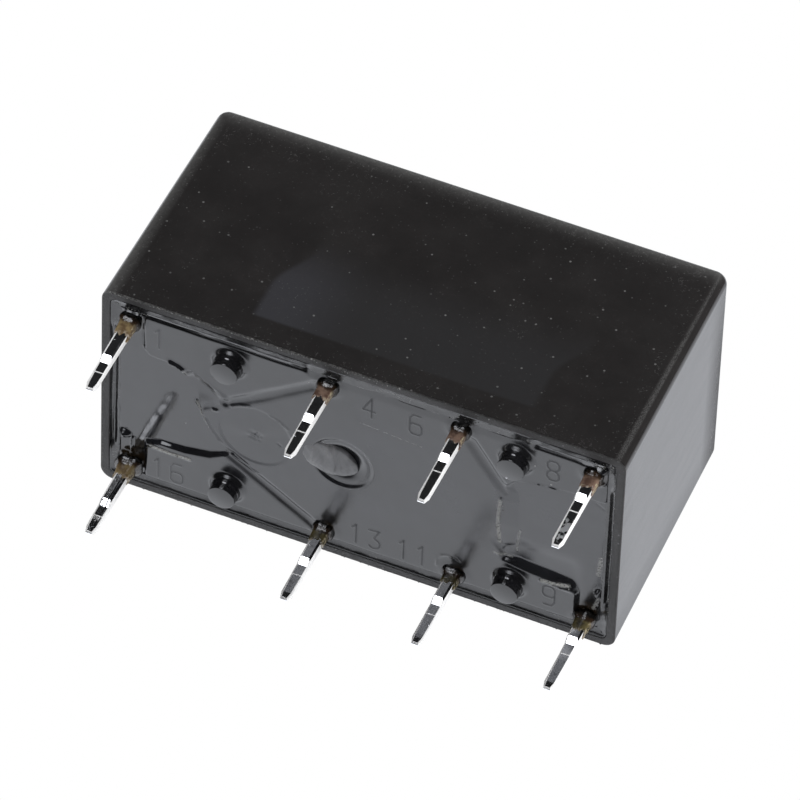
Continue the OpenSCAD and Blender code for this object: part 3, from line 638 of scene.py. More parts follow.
def region_distance(x, y, points):
    """Distance to a closed outline, below zero inside it."""
    closed = list(points) + [points[0]]
    inside = np.zeros(x.shape, dtype=bool)
    for (ax, ay), (bx, by) in zip(closed, closed[1:]):
        crosses = (ay > y) != (by > y)
        if ay != by:
            inside ^= crosses & (x < (bx - ax) * (y - ay) / (by - ay) + ax)
    return np.where(inside, -1.0, 1.0) * path_distance(x, y, closed)


def rounded_box_distance(x, y, length, width, r):
    """Distance to a rounded rectangle about the middle, below zero inside it."""
    qx = np.abs(x) - length / 2 + r
    qy = np.abs(y) - width / 2 + r
    outside = np.hypot(np.maximum(qx, 0), np.maximum(qy, 0))
    return outside + np.minimum(np.maximum(qx, qy), 0) - r


def arc_points(center, r, start, end, count=12):
    """Points along an arc, with angles in degrees."""
    angles = [math.radians(start + (end - start) * i / count) for i in range(count + 1)]
    return [(center[0] + r * math.cos(a), center[1] + r * math.sin(a)) for a in angles]


def mound(away, r, high):
    """Soft round mound of a radius and a height."""
    return high * np.exp(-((away / r) ** 2))


def ripple(x, y, scale, seed):
    """Smooth, repeatable unevenness between about -1 and 1, from a few crossing waves."""
    rng = np.random.RandomState(seed)
    total = np.zeros(np.shape(x))
    for _ in range(14):
        angle, phase = rng.uniform(0, 2 * math.pi, 2)
        rate = rng.uniform(0.5, 1.8) * scale
        total += np.sin(rate * (x * math.cos(angle) + y * math.sin(angle)) + phase)
    return total / 5.0


# Underside of the base: resin fields, pads, channels, gate disc and vent recess, as depths into the base
LEFT_FIELD = [
    (-9.75, -4.6), (-8.42, -4.6), (-8.42, -2.5), (-8.18, -2.22), (-7.45, -2.2), (-6.85, -2.04),
    (-6.6, -2.12), (-5.85, -1.76), (-5.15, -1.38), (-4.6, -1.0), (-4.6, 1.35), (-5.25, 1.68),
    (-5.75, 2.05), (-6.75, 2.24), (-7.7, 2.2), (-8.3, 2.4), (-8.3, 4.6), (-9.75, 4.6),
]
RIGHT_FIELD = [
    (5.6, -1.6), (5.95, -2.05), (6.9, -2.33), (7.6, -2.38), (8.15, -2.43), (9.75, -2.45), (9.75, 4.6),
    (8.42, 4.6), (8.42, 2.75), (8.3, 2.6), (7.5, 2.48), (6.7, 2.42), (6.1, 2.34), (5.62, 2.2),
    (5.45, 1.5), (5.75, 0.4), (5.75, -0.9),
]
GATE_PLACE = (-4.0, 0.07)
GATE_R = 1.42
LAND_PLACE = (-3.6, -0.9)
LAND_R = 2.67
VENT_PLACE = (-0.65, 0.0)
VENT_R = 1.18
VENT_DISH = 0.18
VENT_STEP = 0.08
CHANNEL_W = 0.46
CHANNEL_DEEP = 0.085
CHANNELS = [
    [(-5.2, -1.12), (-4.3, -1.72), (-1.75, -3.62)],
    [(-4.95, 1.55), (-4.0, 2.2), (-1.6, 3.78)],
    [(4.2, -3.4), (5.0, -2.25), (5.65, -1.3)],
]
FIELD_DEEP = 0.145
PIT_DEEP = 0.06
GATE_DEEP = 0.03
SEAM_DEEP = 0.115
FILLET_HIGH = 0.17
FILLET_REACH = 0.27
FILLET_FALL = 0.22
GRID_STEP = 0.046


# Strokes of the terminal numbers, in boxes 1 wide and 2 high, with +Y up as they are read
def digit_strokes(digit):
    low_ring = [
        (0.2, 0), (0.8, 0), (1, 0.25), (1, 0.85), (0.8, 1.1), (0.2, 1.1), (0, 0.85), (0, 0.25), (0.2, 0)
    ]
    high_ring = [(u, 2 - v) for u, v in low_ring]
    low_loop = [
        (0.3, 1.0), (0.03, 0.72), (0, 0.3), (0.25, 0), (0.75, 0), (1, 0.3), (0.97, 0.72), (0.7, 1.0),
        (0.3, 1.0)
    ]
    shapes = {
        "1": [[(0.15, 1.6), (0.5, 2.0), (0.5, 0.0)]],
        "3": [[(0.0, 1.9), (0.9, 2.0), (0.45, 1.15)], arc_points((0.45, 0.55), 0.5, 80, -140)],
        "4": [[(0.75, 0.0), (0.75, 2.0), (0.0, 0.65), (1.0, 0.65)]],
        "6": [low_ring, [(0, 0.4), (0, 1.6), (0.25, 2.0), (0.9, 2.0)]],
        "8": [low_loop, [(u, 2 - v) for u, v in low_loop]],
        "9": [high_ring, [(1, 1.6), (1, 0.4), (0.75, 0.0), (0.1, 0.0)]],
    }
    return shapes[digit]


DIGIT_HIGH = 0.98
DIGIT_WIDE = 0.46
DIGIT_GAP = 0.26
DIGIT_STROKE = 0.06
STROKE_HIGH = 0.016
NUMBERS = {
    "1": (-7.8, -3.3), "4": (0.3, -3.4), "6": (2.1, -3.3), "8": (7.35, -3.3),
    "16": (-7.4, 3.5), "13": (0.35, 3.45), "11": (2.2, 3.45), "9": (7.45, 3.3),
}


def number_paths(text, middle):
    """Strokes of a number on the base, upright as seen from below."""
    total = len(text) * DIGIT_WIDE + (len(text) - 1) * DIGIT_GAP
    paths = []
    for i, digit in enumerate(text):
        left = middle[0] - total / 2 + i * (DIGIT_WIDE + DIGIT_GAP)
        low = middle[1] + DIGIT_HIGH / 2
        for stroke in digit_strokes(digit):
            paths.append([(left + u * DIGIT_WIDE, low - v * DIGIT_HIGH / 2) for u, v in stroke])
    return paths


def field_depth(x, y):
    """Depth of the resin fields: thin steps at most of their edges, broad slopes along y = 2.2."""
    uneven = 0.025 * ripple(x, y, 3.0, 3)
    left_broad = smooth_step(-8.1, -6.6, x) * smooth_step(-5.2, -6.0, x) * smooth_step(0.5, 1.2, y)
    right_broad = smooth_step(5.5, 6.3, x) * smooth_step(8.7, 8.2, x) * smooth_step(0.8, 1.5, y)
    away = region_distance(x, y, LEFT_FIELD) + uneven
    left = even_step(0.05, -0.05 - 0.17 * left_broad, away)
    land_away = np.hypot(x - LAND_PLACE[0], y - LAND_PLACE[1]) - LAND_R
    land_width = 0.08 + 0.9 * smooth_step(-0.2, -0.9, y) + 0.1 * smooth_step(0.8, 1.6, y)
    left = left * even_step(-land_width, 0.05, land_away + uneven)
    away = region_distance(x, y, RIGHT_FIELD) + uneven
    soft_edge = smooth_step(6.6, 5.9, x) * smooth_step(1.9, 1.2, y) * smooth_step(-1.9, -1.3, y)
    right = even_step(0.05 + 0.35 * soft_edge, -0.05 - 0.3 * right_broad - 0.35 * soft_edge, away)
    pit = PIT_DEEP * right_broad * even_step(0.05, -0.36, away) * smooth_step(-2.2, -0.4, away)
    return FIELD_DEEP * np.maximum(left, right) + pit


def channel_depth(x, y):
    """Depth of the soft channels that lead resin to the terminals in the middle."""
    depth = np.zeros(x.shape)
    for path in CHANNELS:
        away = path_distance(x, y, path) - CHANNEL_W / 2 + 0.02 * ripple(x, y, 3.0, 4)
        depth = np.maximum(depth, CHANNEL_DEEP * smooth_step(0.1, -0.2, away))
    return depth


def vent_depth(x, y):
    """Depth of the vent's dished recess, with a low step at its edge."""
    away = np.hypot(x - VENT_PLACE[0], y - VENT_PLACE[1])
    dish = VENT_DISH * smooth_step(VENT_R - 0.2, VENT_R - 0.8, away)
    step = VENT_STEP * smooth_step(VENT_R + 0.05, VENT_R - 0.1, away)
    return dish + step


def gate_height(x, y):
    """Height of the gate's rough vestige over its disc, which is below zero where the disc is cut in."""
    away = np.hypot(x - GATE_PLACE[0], y - GATE_PLACE[1])
    turn = np.arctan2(y - GATE_PLACE[1], x - GATE_PLACE[0])
    shallow = 0.45 + 0.55 * smooth_step(-0.6, 0.2, np.sin(turn + 0.4))
    disc = -GATE_DEEP * shallow * smooth_step(GATE_R + 0.03, GATE_R - 0.05, away)
    scar = np.exp(-((away / 0.2) ** 2)) * (0.02 + 0.05 * ripple(x, y, 24.0, 5))
    mark = mound(np.hypot(x + 3.1, (y - 0.16) * 1.6), 0.07, 0.03)
    return disc - scar + mark


def number_strokes(x, y):
    """1 on the strokes of the terminal numbers, 0 away from them."""
    strokes = np.zeros(x.shape)
    for text, middle in NUMBERS.items():
        near = (np.abs(x - middle[0]) < 1.2) & (np.abs(y - middle[1]) < 0.8)
        away = np.minimum.reduce([path_distance(x[near], y[near], p) for p in number_paths(text, middle)])
        strokes[near] = smooth_step(DIGIT_STROKE / 2 + 0.03, DIGIT_STROKE / 2 - 0.03, away)
    return strokes


def foot_fillet(x, y):
    """Height of the soft fillets where the feet grow out of the base."""
    height = np.zeros(x.shape)
    for foot_x, foot_y in FOOT_PLACES:
        away = np.hypot(x - foot_x, y - foot_y)
        height += FILLET_HIGH * np.clip((FOOT_R + FILLET_REACH - away) / FILLET_FALL, 0, 1) ** 2
    return height


RIDGES = [
    # Points, half width and height of thin threads of resin that stand proud of the base
    ([(-4.98, -1.02), (-4.6, -1.24), (-4.22, -1.36)], 0.035, 0.03),
    ([(-5.66, -0.56), (-5.5, -0.6)], 0.045, 0.05),
    ([(-7.34, -2.24), (-7.05, -2.16), (-6.74, -1.96)], 0.12, 0.12),
    ([(-6.6, -2.06), (-5.9, -1.72), (-5.15, -1.3)], 0.11, 0.045),
    ([(-6.36, -0.62), (-6.3, -0.42), (-6.12, -0.12)], 0.04, 0.07),
    ([(-5.95, 0.1), (-5.75, 0.55), (-5.3, 1.1), (-4.9, 1.5)], 0.05, 0.035),
    ([(-5.1, 1.46), (-4.6, 1.7), (-3.9, 2.02)], 0.06, 0.06),
    ([(-8.06, 2.48), (-7.3, 2.52), (-6.57, 2.51)], 0.06, 0.03),
    ([(7.1, 2.62), (7.6, 2.66), (8.3, 2.7)], 0.05, 0.045),
    ([(8.44, 2.75), (8.42, 3.7)], 0.05, 0.04),
    ([(-8.84, 2.5), (-8.86, 3.4)], 0.05, 0.08),
    ([(-9.52, 2.5), (-9.55, 3.3)], 0.05, 0.06),
    ([(-3.5, -1.22), (-3.1, -1.1), (-2.75, -0.82)], 0.025, 0.03),
    ([(9.0, -4.12), (9.35, -4.08)], 0.09, 0.12),
    ([(9.28, -3.48), (9.46, -3.5)], 0.09, 0.12),
    ([(-1.35, -4.24), (-0.95, -4.2)], 0.09, 0.11),
    ([(3.75, -4.22), (4.1, -4.2)], 0.08, 0.1),
    ([(-9.1, -4.14), (-8.6, -4.16)], 0.08, 0.1),
    ([(3.12, 3.65), (3.14, 3.3), (3.3, 3.05), (3.5, 2.96), (3.8, 3.0), (4.0, 3.14)], 0.035, 0.035),
    ([(6.0, -2.1), (6.9, -2.36), (7.6, -2.4)], 0.03, 0.03),
    ([(5.45, -0.95), (5.42, 0.0), (5.4, 0.35)], 0.05, 0.05),
]
GROOVES = [
    # Points, half width and depth of thin gaps in the resin
    ([(-8.43, -4.2), (-8.43, -3.3), (-8.4, -2.6)], 0.04, 0.14),
    ([(-3.14, 0.13), (-3.04, 0.19)], 0.035, 0.05),
    ([(8.98, -2.2), (9.3, -2.0)], 0.03, 0.02),
]
DROPS = [
    # Middle, half sizes and height of round drops of resin
    ((-9.21, 2.39), 0.33, 0.21, 0.21), ((9.35, 2.46), 0.24, 0.24, 0.25), ((9.38, -3.5), 0.12, 0.1, 0.06),
    ((-1.05, -4.3), 0.14, 0.08, 0.08), ((-9.3, -4.2), 0.12, 0.09, 0.07), ((9.2, -4.3), 0.16, 0.09, 0.08),
    ((9.27, 2.93), 0.07, 0.07, 0.06), ((9.2, 3.13), 0.06, 0.06, 0.05), ((9.12, 3.36), 0.06, 0.06, 0.05),
]


def resin_height(x, y):
    """Height of resin that stands proud: menisci at the terminals, threads, drops and grooves."""
    height = np.zeros(x.shape)
    for pin_x, pin_y in PINS.values():
        away = np.hypot((x - pin_x) / 1.15, y - pin_y)
        height += 0.03 * np.exp(-(((away - 0.42) / 0.14) ** 2))
    for path, half, high in RIDGES:
        height += mound(path_distance(x, y, path), half, high) * (1 + 0.35 * ripple(x, y, 9.0, 8))
    for path, half, deep in GROOVES:
        height -= mound(path_distance(x, y, path), half, deep)
    for (drop_x, drop_y), half_x, half_y, high in DROPS:
        away = np.hypot((x - drop_x) / half_x, (y - drop_y) / half_y)
        height += high * np.clip(1 - away ** 2, 0, 1) ** 0.75
    pool = np.hypot((x + 8.95) / 0.62, (y - 3.72) / 0.42)
    return height + 0.06 * smooth_step(1.15, 0.6, pool) * (1 + 0.9 * ripple(x, y, 11.0, 9))


def seam_depth(x, y):
    """Depth of the resin's face at the land's edge, and the width over which the land falls to it."""
    soft = smooth_step(-2.3, -1.9, x) * smooth_step(6.8, 6.4, x) * smooth_step(0.0, -1.0, y)
    ends = smooth_step(9.1, 9.3, np.abs(x)) * smooth_step(2.9, 2.4, np.abs(y))
    deep = SEAM_DEEP * (1 - 0.72 * soft) * (1 - ends) + (FIELD_DEEP + 0.005) * ends
    width = 0.16 + 0.2 * soft
    return deep, width


def underside_depth(x, y):
    """Depth into the base at each point of its underside."""
    depth = np.maximum(field_depth(x, y), channel_depth(x, y))
    depth = np.maximum(depth, vent_depth(x, y))
    depth = depth - gate_height(x, y) - STROKE_HIGH * number_strokes(x, y)
    depth = depth - foot_fillet(x, y) - resin_height(x, y)
    depth = depth + 0.0045 * ripple(x, y, 0.9, 11) + 0.0012 * ripple(x, y, 5.0, 12)
    edge = rounded_box_distance(x, y, LAND_LEN, LAND_WID, LAND_CORNER_R) + 0.012 * ripple(x, y, 2.2, 13)
    deep, width = seam_depth(x, y)
    fall = even_step(-width, 0.0, edge)
    depth = depth * (1 - fall) + np.maximum(deep, depth) * fall
    outside = SEAL_DEEP * smooth_step(0.0, 0.05, edge) + deep * smooth_step(0.05, 0.0, edge)
    return np.where(edge > 0, outside, depth)


CRUSTS_AND_GLINTS = [
    # Points, half width and strength of pale crust on the base, and of painted glints
    # Pale crust by the pad of terminal 16, with a painted glint on it
    ([(-8.06, 2.48), (-7.3, 2.53), (-6.57, 2.51)], 0.06, 1.0),
    ([(7.15, 2.58), (7.6, 2.57), (8.18, 2.5)], 0.045, 1.0),
    ([(5.42, -0.85), (5.39, -0.1), (5.38, 0.35), (5.46, 1.4)], 0.05, 0.8),
    ([(6.18, 0.55), (6.08, 1.7)], 0.04, 0.35),
    ([(9.3, 0.6), (9.22, 1.5)], 0.06, 0.45),
    ([(-6.34, -0.6), (-6.04, 0.02), (-5.85, 0.43)], 0.03, 0.8),
    # Painted glint below the arrow mark
    ([(-7.17, -1.99), (-6.98, -1.92), (-6.81, -1.83)], 0.04, 1.0),
    ([(9.3, 2.75), (9.1, 3.3)], 0.04, 0.5),
    ([(5.3, 1.95), (5.9, 2.05)], 0.05, 0.4),
]
BROWNS = [
    # Places and radii of brown resin stains
    ((-8.85, 3.55), 0.75), ((-8.7, -3.55), 0.45), ((-1.15, -3.6), 0.35), ((3.95, -3.6), 0.35),
    ((8.95, -3.7), 0.5), ((8.9, 3.5), 0.5), ((3.9, 3.6), 0.35), ((-1.1, 3.6), 0.35),
]


# Heights about the rim's between which marks lie, and where along the base its haze begins and is full
MARK_BAND = (-0.16, 0.3)
HAZE_X = (-7.0, -6.0)


def paint_marks(mesh):
    """Stores on each point of the underside where crust and painted glints, brown resin, haze and number
    strokes lie.
    """
    count = len(mesh.vertices)
    places = np.zeros(count * 3)
    mesh.vertices.foreach_get("co", places)
    places = places.reshape(-1, 3) / MM
    x, y = places[:, 0], places[:, 1]
    under = (places[:, 2] > RIM_Z + MARK_BAND[0]) & (places[:, 2] < RIM_Z + MARK_BAND[1])
    crust = np.zeros(count)
    for path, half, strong in CRUSTS_AND_GLINTS:
        away = path_distance(x, y, path)
        crust = np.maximum(crust, strong * smooth_step(half * 1.8, half * 0.6, away))
    brown = np.zeros(count)
    for (brown_x, brown_y), r in BROWNS:
        away = np.hypot(x - brown_x, y - brown_y) / r
        brown = np.maximum(brown, smooth_step(1.0, 0.5, away))
    haze = smooth_step(*HAZE_X, x)
    strokes = number_strokes(x, y)
    colors = np.stack([crust * under, brown * under, haze * under, strokes * under], axis=1)
    layer = mesh.color_attributes.new("marks", "FLOAT_COLOR", "POINT")
    layer.data.foreach_set("color", colors.ravel())


def add_box(bm, low, high):
    """Closed box between two corners."""
    made = bmesh.ops.create_cube(bm, size=1.0)["verts"]
    size = Vector(high) - Vector(low)
    bmesh.ops.scale(bm, vec=size, verts=made)
    bmesh.ops.translate(bm, vec=(Vector(high) + Vector(low)) / 2, verts=made)


def add_turned(bm, profile, middle, steps=64):
    """Closed shape turned about a vertical axis from (radius, z) points that start and end on it."""
    points = [bm.verts.new((middle[0] + r, middle[1], z)) for r, z in profile]
    edges = [bm.edges.new(pair) for pair in zip(points, points[1:])]
    bmesh.ops.spin(
        bm, geom=points + edges, cent=(middle[0], middle[1], 0), axis=(0, 0, 1),
        angle=2 * math.pi, steps=steps, use_merge=True, use_duplicate=False
    )


FOOT_PLACES = [(x, side * 3.28) for x in (-5.05, 5.95) for side in (-1, 1)]
FOOT_R = 0.52
FOOT_STEP_Z = 0.27


def foot_profile():
    """Half outline of a foot: flat end, low rounded step, drafted side down into the base."""
    return [
        (0, 0.0), (FOOT_R - 0.035, 0.0), (FOOT_R - 0.012, 0.008), (FOOT_R, 0.03),
        (FOOT_R + 0.01, FOOT_STEP_Z - 0.03), (FOOT_R + 0.014, FOOT_STEP_Z),
        (FOOT_R + 0.03, FOOT_STEP_Z + 0.02), (FOOT_R + 0.042, FOOT_STEP_Z + 0.045),
        (FOOT_R + 0.055, RIM_Z - 0.12), (FOOT_R + 0.06, RIM_Z + 0.2), (0, RIM_Z + 0.2),
    ]


RIB_W = 0.8
RIB_GAP = 0.5
CHEEK_T = 0.3
CHEEK_RISE = 0.4
YOKE_T = 0.8
RIB_SUNK = 0.1
YOKE_GAP = 0.03


def add_ribs(bm):
    """Ribs that carry the yoke, with a cheek on each side of it."""
    half = YOKE_HIGH.y + YOKE_GAP
    upright_x = YOKE_HIGH.x - YOKE_T
    for x in (LEAF_HIGH.x + RIB_GAP, upright_x - RIB_W - RIB_GAP - 0.1):
        add_box(bm, (x, -half, FLOOR_Z - RIB_SUNK), (x + RIB_W, half, YOKE_LOW.z))
        for side in (-1, 1):
            near, far = sorted((side * half, side * (half + CHEEK_T)))
            high = YOKE_LOW.z + CHEEK_RISE
            add_box(bm, (x, near, FLOOR_Z - RIB_SUNK), (x + RIB_W, far, high))


def make_base():
    bm = bmesh.new()
    nx = round(BASE_LEN / GRID_STEP)
    ny = round(BASE_WID / GRID_STEP)
    bmesh.ops.create_grid(bm, x_segments=nx, y_segments=ny, size=0.5)
    bmesh.ops.scale(bm, vec=(BASE_LEN, BASE_WID, 1), verts=bm.verts)
    bmesh.ops.reverse_faces(bm, faces=bm.faces)
    places = np.array([v.co[:2] for v in bm.verts])
    depths = underside_depth(places[:, 0], places[:, 1])
    for vert, depth in zip(bm.verts, depths):
        vert.co.z = RIM_Z + depth
    risen = bmesh.ops.extrude_edge_only(bm, edges=open_edges(bm))["geom"]
    for item in risen:
        if isinstance(item, bmesh.types.BMVert):
            item.co.z = FLOOR_Z
    top = [item for item in risen if isinstance(item, bmesh.types.BMEdge) and item.is_boundary]
    bmesh.ops.contextual_create(bm, geom=top)
    for place in FOOT_PLACES:
        add_turned(bm, foot_profile(), place)
    add_ribs(bm)
    bmesh.ops.remove_doubles(bm, verts=bm.verts, dist=MERGE_DIST)
    bmesh.ops.recalc_face_normals(bm, faces=bm.faces)
    piece = finish_piece("moulded_base", bm, "base_plastic", ["base"], sharp_angle=60)
    paint_marks(piece.data)


# Cover: two rounded, drafted boxes, one in the other, joined at the rim
CORNER_R = 0.48
TOP_R = 0.38
ROOM_CORNER_R = 0.23
ROOM_TOP_R = 0.19
RIM_BLUNT = 0.05
LEVEL_TOL = 0.001


def add_rounded_box(bm, length, width, low, high, corner_r, top_r):
    """Open box with round upright corners and round top edges."""
    made = bmesh.ops.create_cube(bm, size=1.0)["verts"]
    for vert in made:
        shrink = 2 * DRAFT if vert.co.z > 0 else 0
        vert.co.x = math.copysign((length - shrink) / 2, vert.co.x)
        vert.co.y = math.copysign((width - shrink) / 2, vert.co.y)
        vert.co.z = high if vert.co.z > 0 else low
    faces = {f for v in made for f in v.link_faces}
    bottom = [f for f in faces if f.calc_center_median().z < low + 0.01]
    bmesh.ops.delete(bm, geom=bottom, context="FACES_ONLY")
    edges = {e for v in made for e in v.link_edges}
    upright = [e for e in edges if abs(e.verts[0].co.z - e.verts[1].co.z) > 1]
    bevel(bm, upright, corner_r, 8, clamp=True)
    at_top = [e for e in bm.edges if all(abs(v.co.z - high) < LEVEL_TOL for v in e.verts)]
    top = [e for e in at_top if len(e.link_faces) == 2]
    bevel(bm, top, top_r, 7, clamp=True)


def make_cover():
    bm = bmesh.new()
    add_rounded_box(bm, BODY_LEN, BODY_WID, RIM_Z, TOP_Z, CORNER_R, TOP_R)
    inner_bm = bmesh.new()
    room_top = TOP_Z - TOP_WALL
    add_rounded_box(inner_bm, ROOM_LEN, ROOM_WID, RIM_Z, room_top, ROOM_CORNER_R, ROOM_TOP_R)
    bmesh.ops.reverse_faces(inner_bm, faces=inner_bm.faces)
    inner_mesh = bpy.data.meshes.new("cover_room")
    inner_bm.to_mesh(inner_mesh)
    inner_bm.free()
    bm.from_mesh(inner_mesh)
    bpy.data.meshes.remove(inner_mesh)
    bmesh.ops.bridge_loops(bm, edges=open_edges(bm))
    rim_edges = [
        e for e in bm.edges
        if all(abs(v.co.z - RIM_Z) < LEVEL_TOL for v in e.verts)
        and len(e.link_faces) == 2 and e.calc_face_angle(0) > 1
    ]
    bevel(bm, rim_edges, RIM_BLUNT, 3)
    bmesh.ops.recalc_face_normals(bm, faces=bm.faces)
    finish_piece("moulded_cover", bm, "cover_plastic", ["cover"], sharp_angle=40, flat_faces=True)


# Resin in the groove: a strip bent round the base, nearly level with the rim
def perimeter_place(along, length, width, r):
    """Point and outward direction at a distance along a rounded rectangle."""
    straight_x, straight_y = length - 2 * r, width - 2 * r
    quarter = math.pi * r / 2
    runs = [straight_x, quarter, straight_y, quarter] * 2
    starts = [
        ((-straight_x / 2, -width / 2), -90), ((straight_x / 2, -width / 2 + r), -90),
        ((length / 2, -straight_y / 2), 0), ((length / 2 - r, straight_y / 2), 0),
        ((straight_x / 2, width / 2), 90), ((-straight_x / 2, width / 2 - r), 90),
        ((-length / 2, straight_y / 2), 180), ((-length / 2 + r, -straight_y / 2), 180),
    ]
    for index, run in enumerate(runs):
        if along <= run or index == 7:
            break
        along -= run
    (px, py), facing = starts[index]
    if index % 2 == 0:
        turn = math.radians(facing)
        out = Vector((math.cos(turn), math.sin(turn), 0))
        ahead = Vector((-out.y, out.x, 0))
        return Vector((px, py, 0)) + ahead * along, out
    turn = math.radians(facing + 90 * along / quarter)
    out = Vector((math.cos(turn), math.sin(turn), 0))
    return Vector((px, py, 0)) + out * r, out


SEAL_SECTION = [
    # Distance in from the cover's wall, and the share of the way from the rim's level to the land's
    (0.0, None), (0.0, 0.0), (0.03, 0.35), (0.08, 0.6), (0.14, 0.75), (0.20, 0.9), (0.27, 1.0),
    (0.34, 1.0), (0.38, 1.1), (0.38, None),
]
# Depth of the resin at the wall, and how much deeper it has shrunk at the ends
WALL_DEEP = 0.02
SHRINK_DEEP = 0.2
# Clearance to the cover's walls, length of a step along the strip, and merging distance at its ends
SEAL_GAP = 0.02
SEAL_STEP = 0.06
SEAL_MERGE = 0.002


def make_rim_seal():
    length, width, r = ROOM_LEN - SEAL_GAP, ROOM_WID - SEAL_GAP, ROOM_CORNER_R
    total = 2 * (length + width - 4 * r) + 2 * math.pi * r
    steps = round(total / SEAL_STEP)
    last = len(SEAL_SECTION) - 1
    bm = bmesh.new()
    bmesh.ops.create_grid(bm, x_segments=steps, y_segments=last, size=0.5)
    for vert in bm.verts:
        along = (vert.co.x + 0.5) * total
        inward, share = SEAL_SECTION[round((vert.co.y + 0.5) * last)]
        place, out = perimeter_place(along % total, length, width, r)
        place = place - out * inward
        if share is None:
            vert.co = Vector((place.x, place.y, RIM_Z + SEAL_DEEP))
            continue
        deep, _ = seam_depth(np.array(place.x), np.array(place.y))
        bump = 0.006 * float(ripple(place.x, place.y, 5.0, 21))
        bump += 0.004 * float(ripple(place.x, place.y, 14.0, 22))
        shrunk = abs(out.x) * float(smooth_step(0.24, 0.12, inward))
        shrunk *= float(smooth_step(3.4, 2.8, abs(place.y)))
        shrunk *= 0.8 + 0.5 * float(ripple(place.x, place.y, 1.6, 23))
        level = WALL_DEEP + (float(deep) - WALL_DEEP) * share + bump + SHRINK_DEEP * shrunk
        vert.co = Vector((place.x, place.y, RIM_Z + level))
    bmesh.ops.remove_doubles(bm, verts=bm.verts, dist=SEAL_MERGE)
    bmesh.ops.bridge_loops(bm, edges=open_edges(bm))
    bmesh.ops.recalc_face_normals(bm, faces=bm.faces)
    finish_piece("groove_resin", bm, "seal_resin", ["rim_seal"])


# Crumbs of dry resin along the seam and in the corners of the fields
CRUMB_LINES = [
    # Ends of a line, how many crumbs lie along it, how far they stray, and their height
    ((-9.8, -4.9), (-3.0, -4.9), 90, 0.025, 0.0),
    ((-3.2, -4.88), (1.5, -4.86), 50, 0.04, 0.0),
    ((1.5, -4.9), (9.8, -4.9), 18, 0.02, 0.0),
    ((9.3, -4.8), (9.75, -4.3), 22, 0.1, 0.02),
    ((-9.6, 4.93), (9.6, 4.93), 90, 0.02, 0.01),
    ((9.72, -3.9), (9.72, 4.2), 70, 0.05, 0.02),
    ((-9.74, -3.6), (-9.74, 3.6), 24, 0.03, 0.03),
    ((-1.8, -4.4), (-0.5, -4.36), 12, 0.12, 0.03),
    ((3.3, -4.42), (4.5, -4.38), 22, 0.1, 0.03),
    ((-9.3, -4.35), (-8.4, -4.3), 26, 0.12, 0.03),
    ((8.6, -4.35), (9.5, -4.2), 26, 0.12, 0.03),
    ((5.42, -0.9), (5.4, 1.4), 26, 0.07, 0.0),
    ((7.15, 2.6), (8.35, 2.6), 9, 0.04, 0.0),
    ((-8.2, 2.5), (-6.6, 2.52), 9, 0.04, 0.0),
    ((-9.4, 3.2), (-8.4, 4.1), 22, 0.18, 0.0),
]


# Least radius of a crumb, how much larger it may be, and how far in from the cover's outside it stays
CRUMB_R = 0.012
CRUMB_MORE = 0.022
CRUMB_INSET = 0.02


def make_crumbs():
    rng = np.random.RandomState(17)
    bm = bmesh.new()
    for start, end, count, stray, sunk in CRUMB_LINES:
        for _ in range(count):
            t = rng.uniform()
            x = start[0] + (end[0] - start[0]) * t + rng.normal(0, stray)
            y = start[1] + (end[1] - start[1]) * t + rng.normal(0, stray)
            x = float(np.clip(x, -HALF_LEN + CRUMB_INSET, HALF_LEN - CRUMB_INSET))
            y = float(np.clip(y, -HALF_WID + CRUMB_INSET, HALF_WID - CRUMB_INSET))
            size = CRUMB_R + CRUMB_MORE * rng.uniform() ** 2
            surface_deep = underside_depth(np.array([x]), np.array([y]))[0]
            in_land = rounded_box_distance(x, y, LAND_LEN, LAND_WID, LAND_CORNER_R) < -0.05
            z = RIM_Z + (surface_deep if in_land else sunk)
            made = bmesh.ops.create_icosphere(bm, subdivisions=1, radius=size)["verts"]
            squeeze = (rng.uniform(0.7, 1.6), rng.uniform(0.7, 1.4), rng.uniform(0.5, 1.0))
            bmesh.ops.scale(bm, vec=squeeze, verts=made)
            turned = Matrix.Rotation(rng.uniform(0, 6), 3, "Z")
            bmesh.ops.rotate(bm, cent=(0, 0, 0), matrix=turned, verts=made)
            bmesh.ops.translate(bm, vec=(x, y, z), verts=made)
    finish_piece("resin_crumbs", bm, "seal_resin", material=CRUMB_RESIN)


# Collars of resin that creep up the terminals
COLLARS = {
    # How far each collar spreads beside its terminal, how far it creeps along it, and its turn
    "1": (1.0, 1.12, 0.4), "4": (1.0, 0.98, 1.9), "6": (1.0, 0.9, 3.1), "8": (1.05, 0.98, 4.4),
    "16": (1.9, 1.0, 2.6), "13": (1.15, 0.92, 5.2), "11": (1.15, 0.8, 0.9), "9": (1.35, 0.95, 3.9),
}
COLLAR_RINGS = [
    # Distance out from the terminal, and drop below the base
    (0.10, -0.10), (0.125, -0.04), (0.14, 0.01), (0.15, 0.06), (0.15, 0.11), (0.138, 0.16), (0.115, 0.21),
    (0.085, 0.255), (0.062, 0.30), (0.052, 0.37), (0.048, 0.46), (0.044, 0.56), (0.04, 0.66),
    (0.038, 0.73), (0.036, 0.78), (0.022, 0.81), (-0.03, 0.82),
]


# Steps round each collar, and the power that squares its outline to the terminal's
COLLAR_STEPS = 56
COLLAR_POWER = 5
# Drop beyond which a collar's edge is ragged, and beyond which it spreads less beside its terminal
RAGGED_DROP = 0.3
THIN_DROP = 0.5


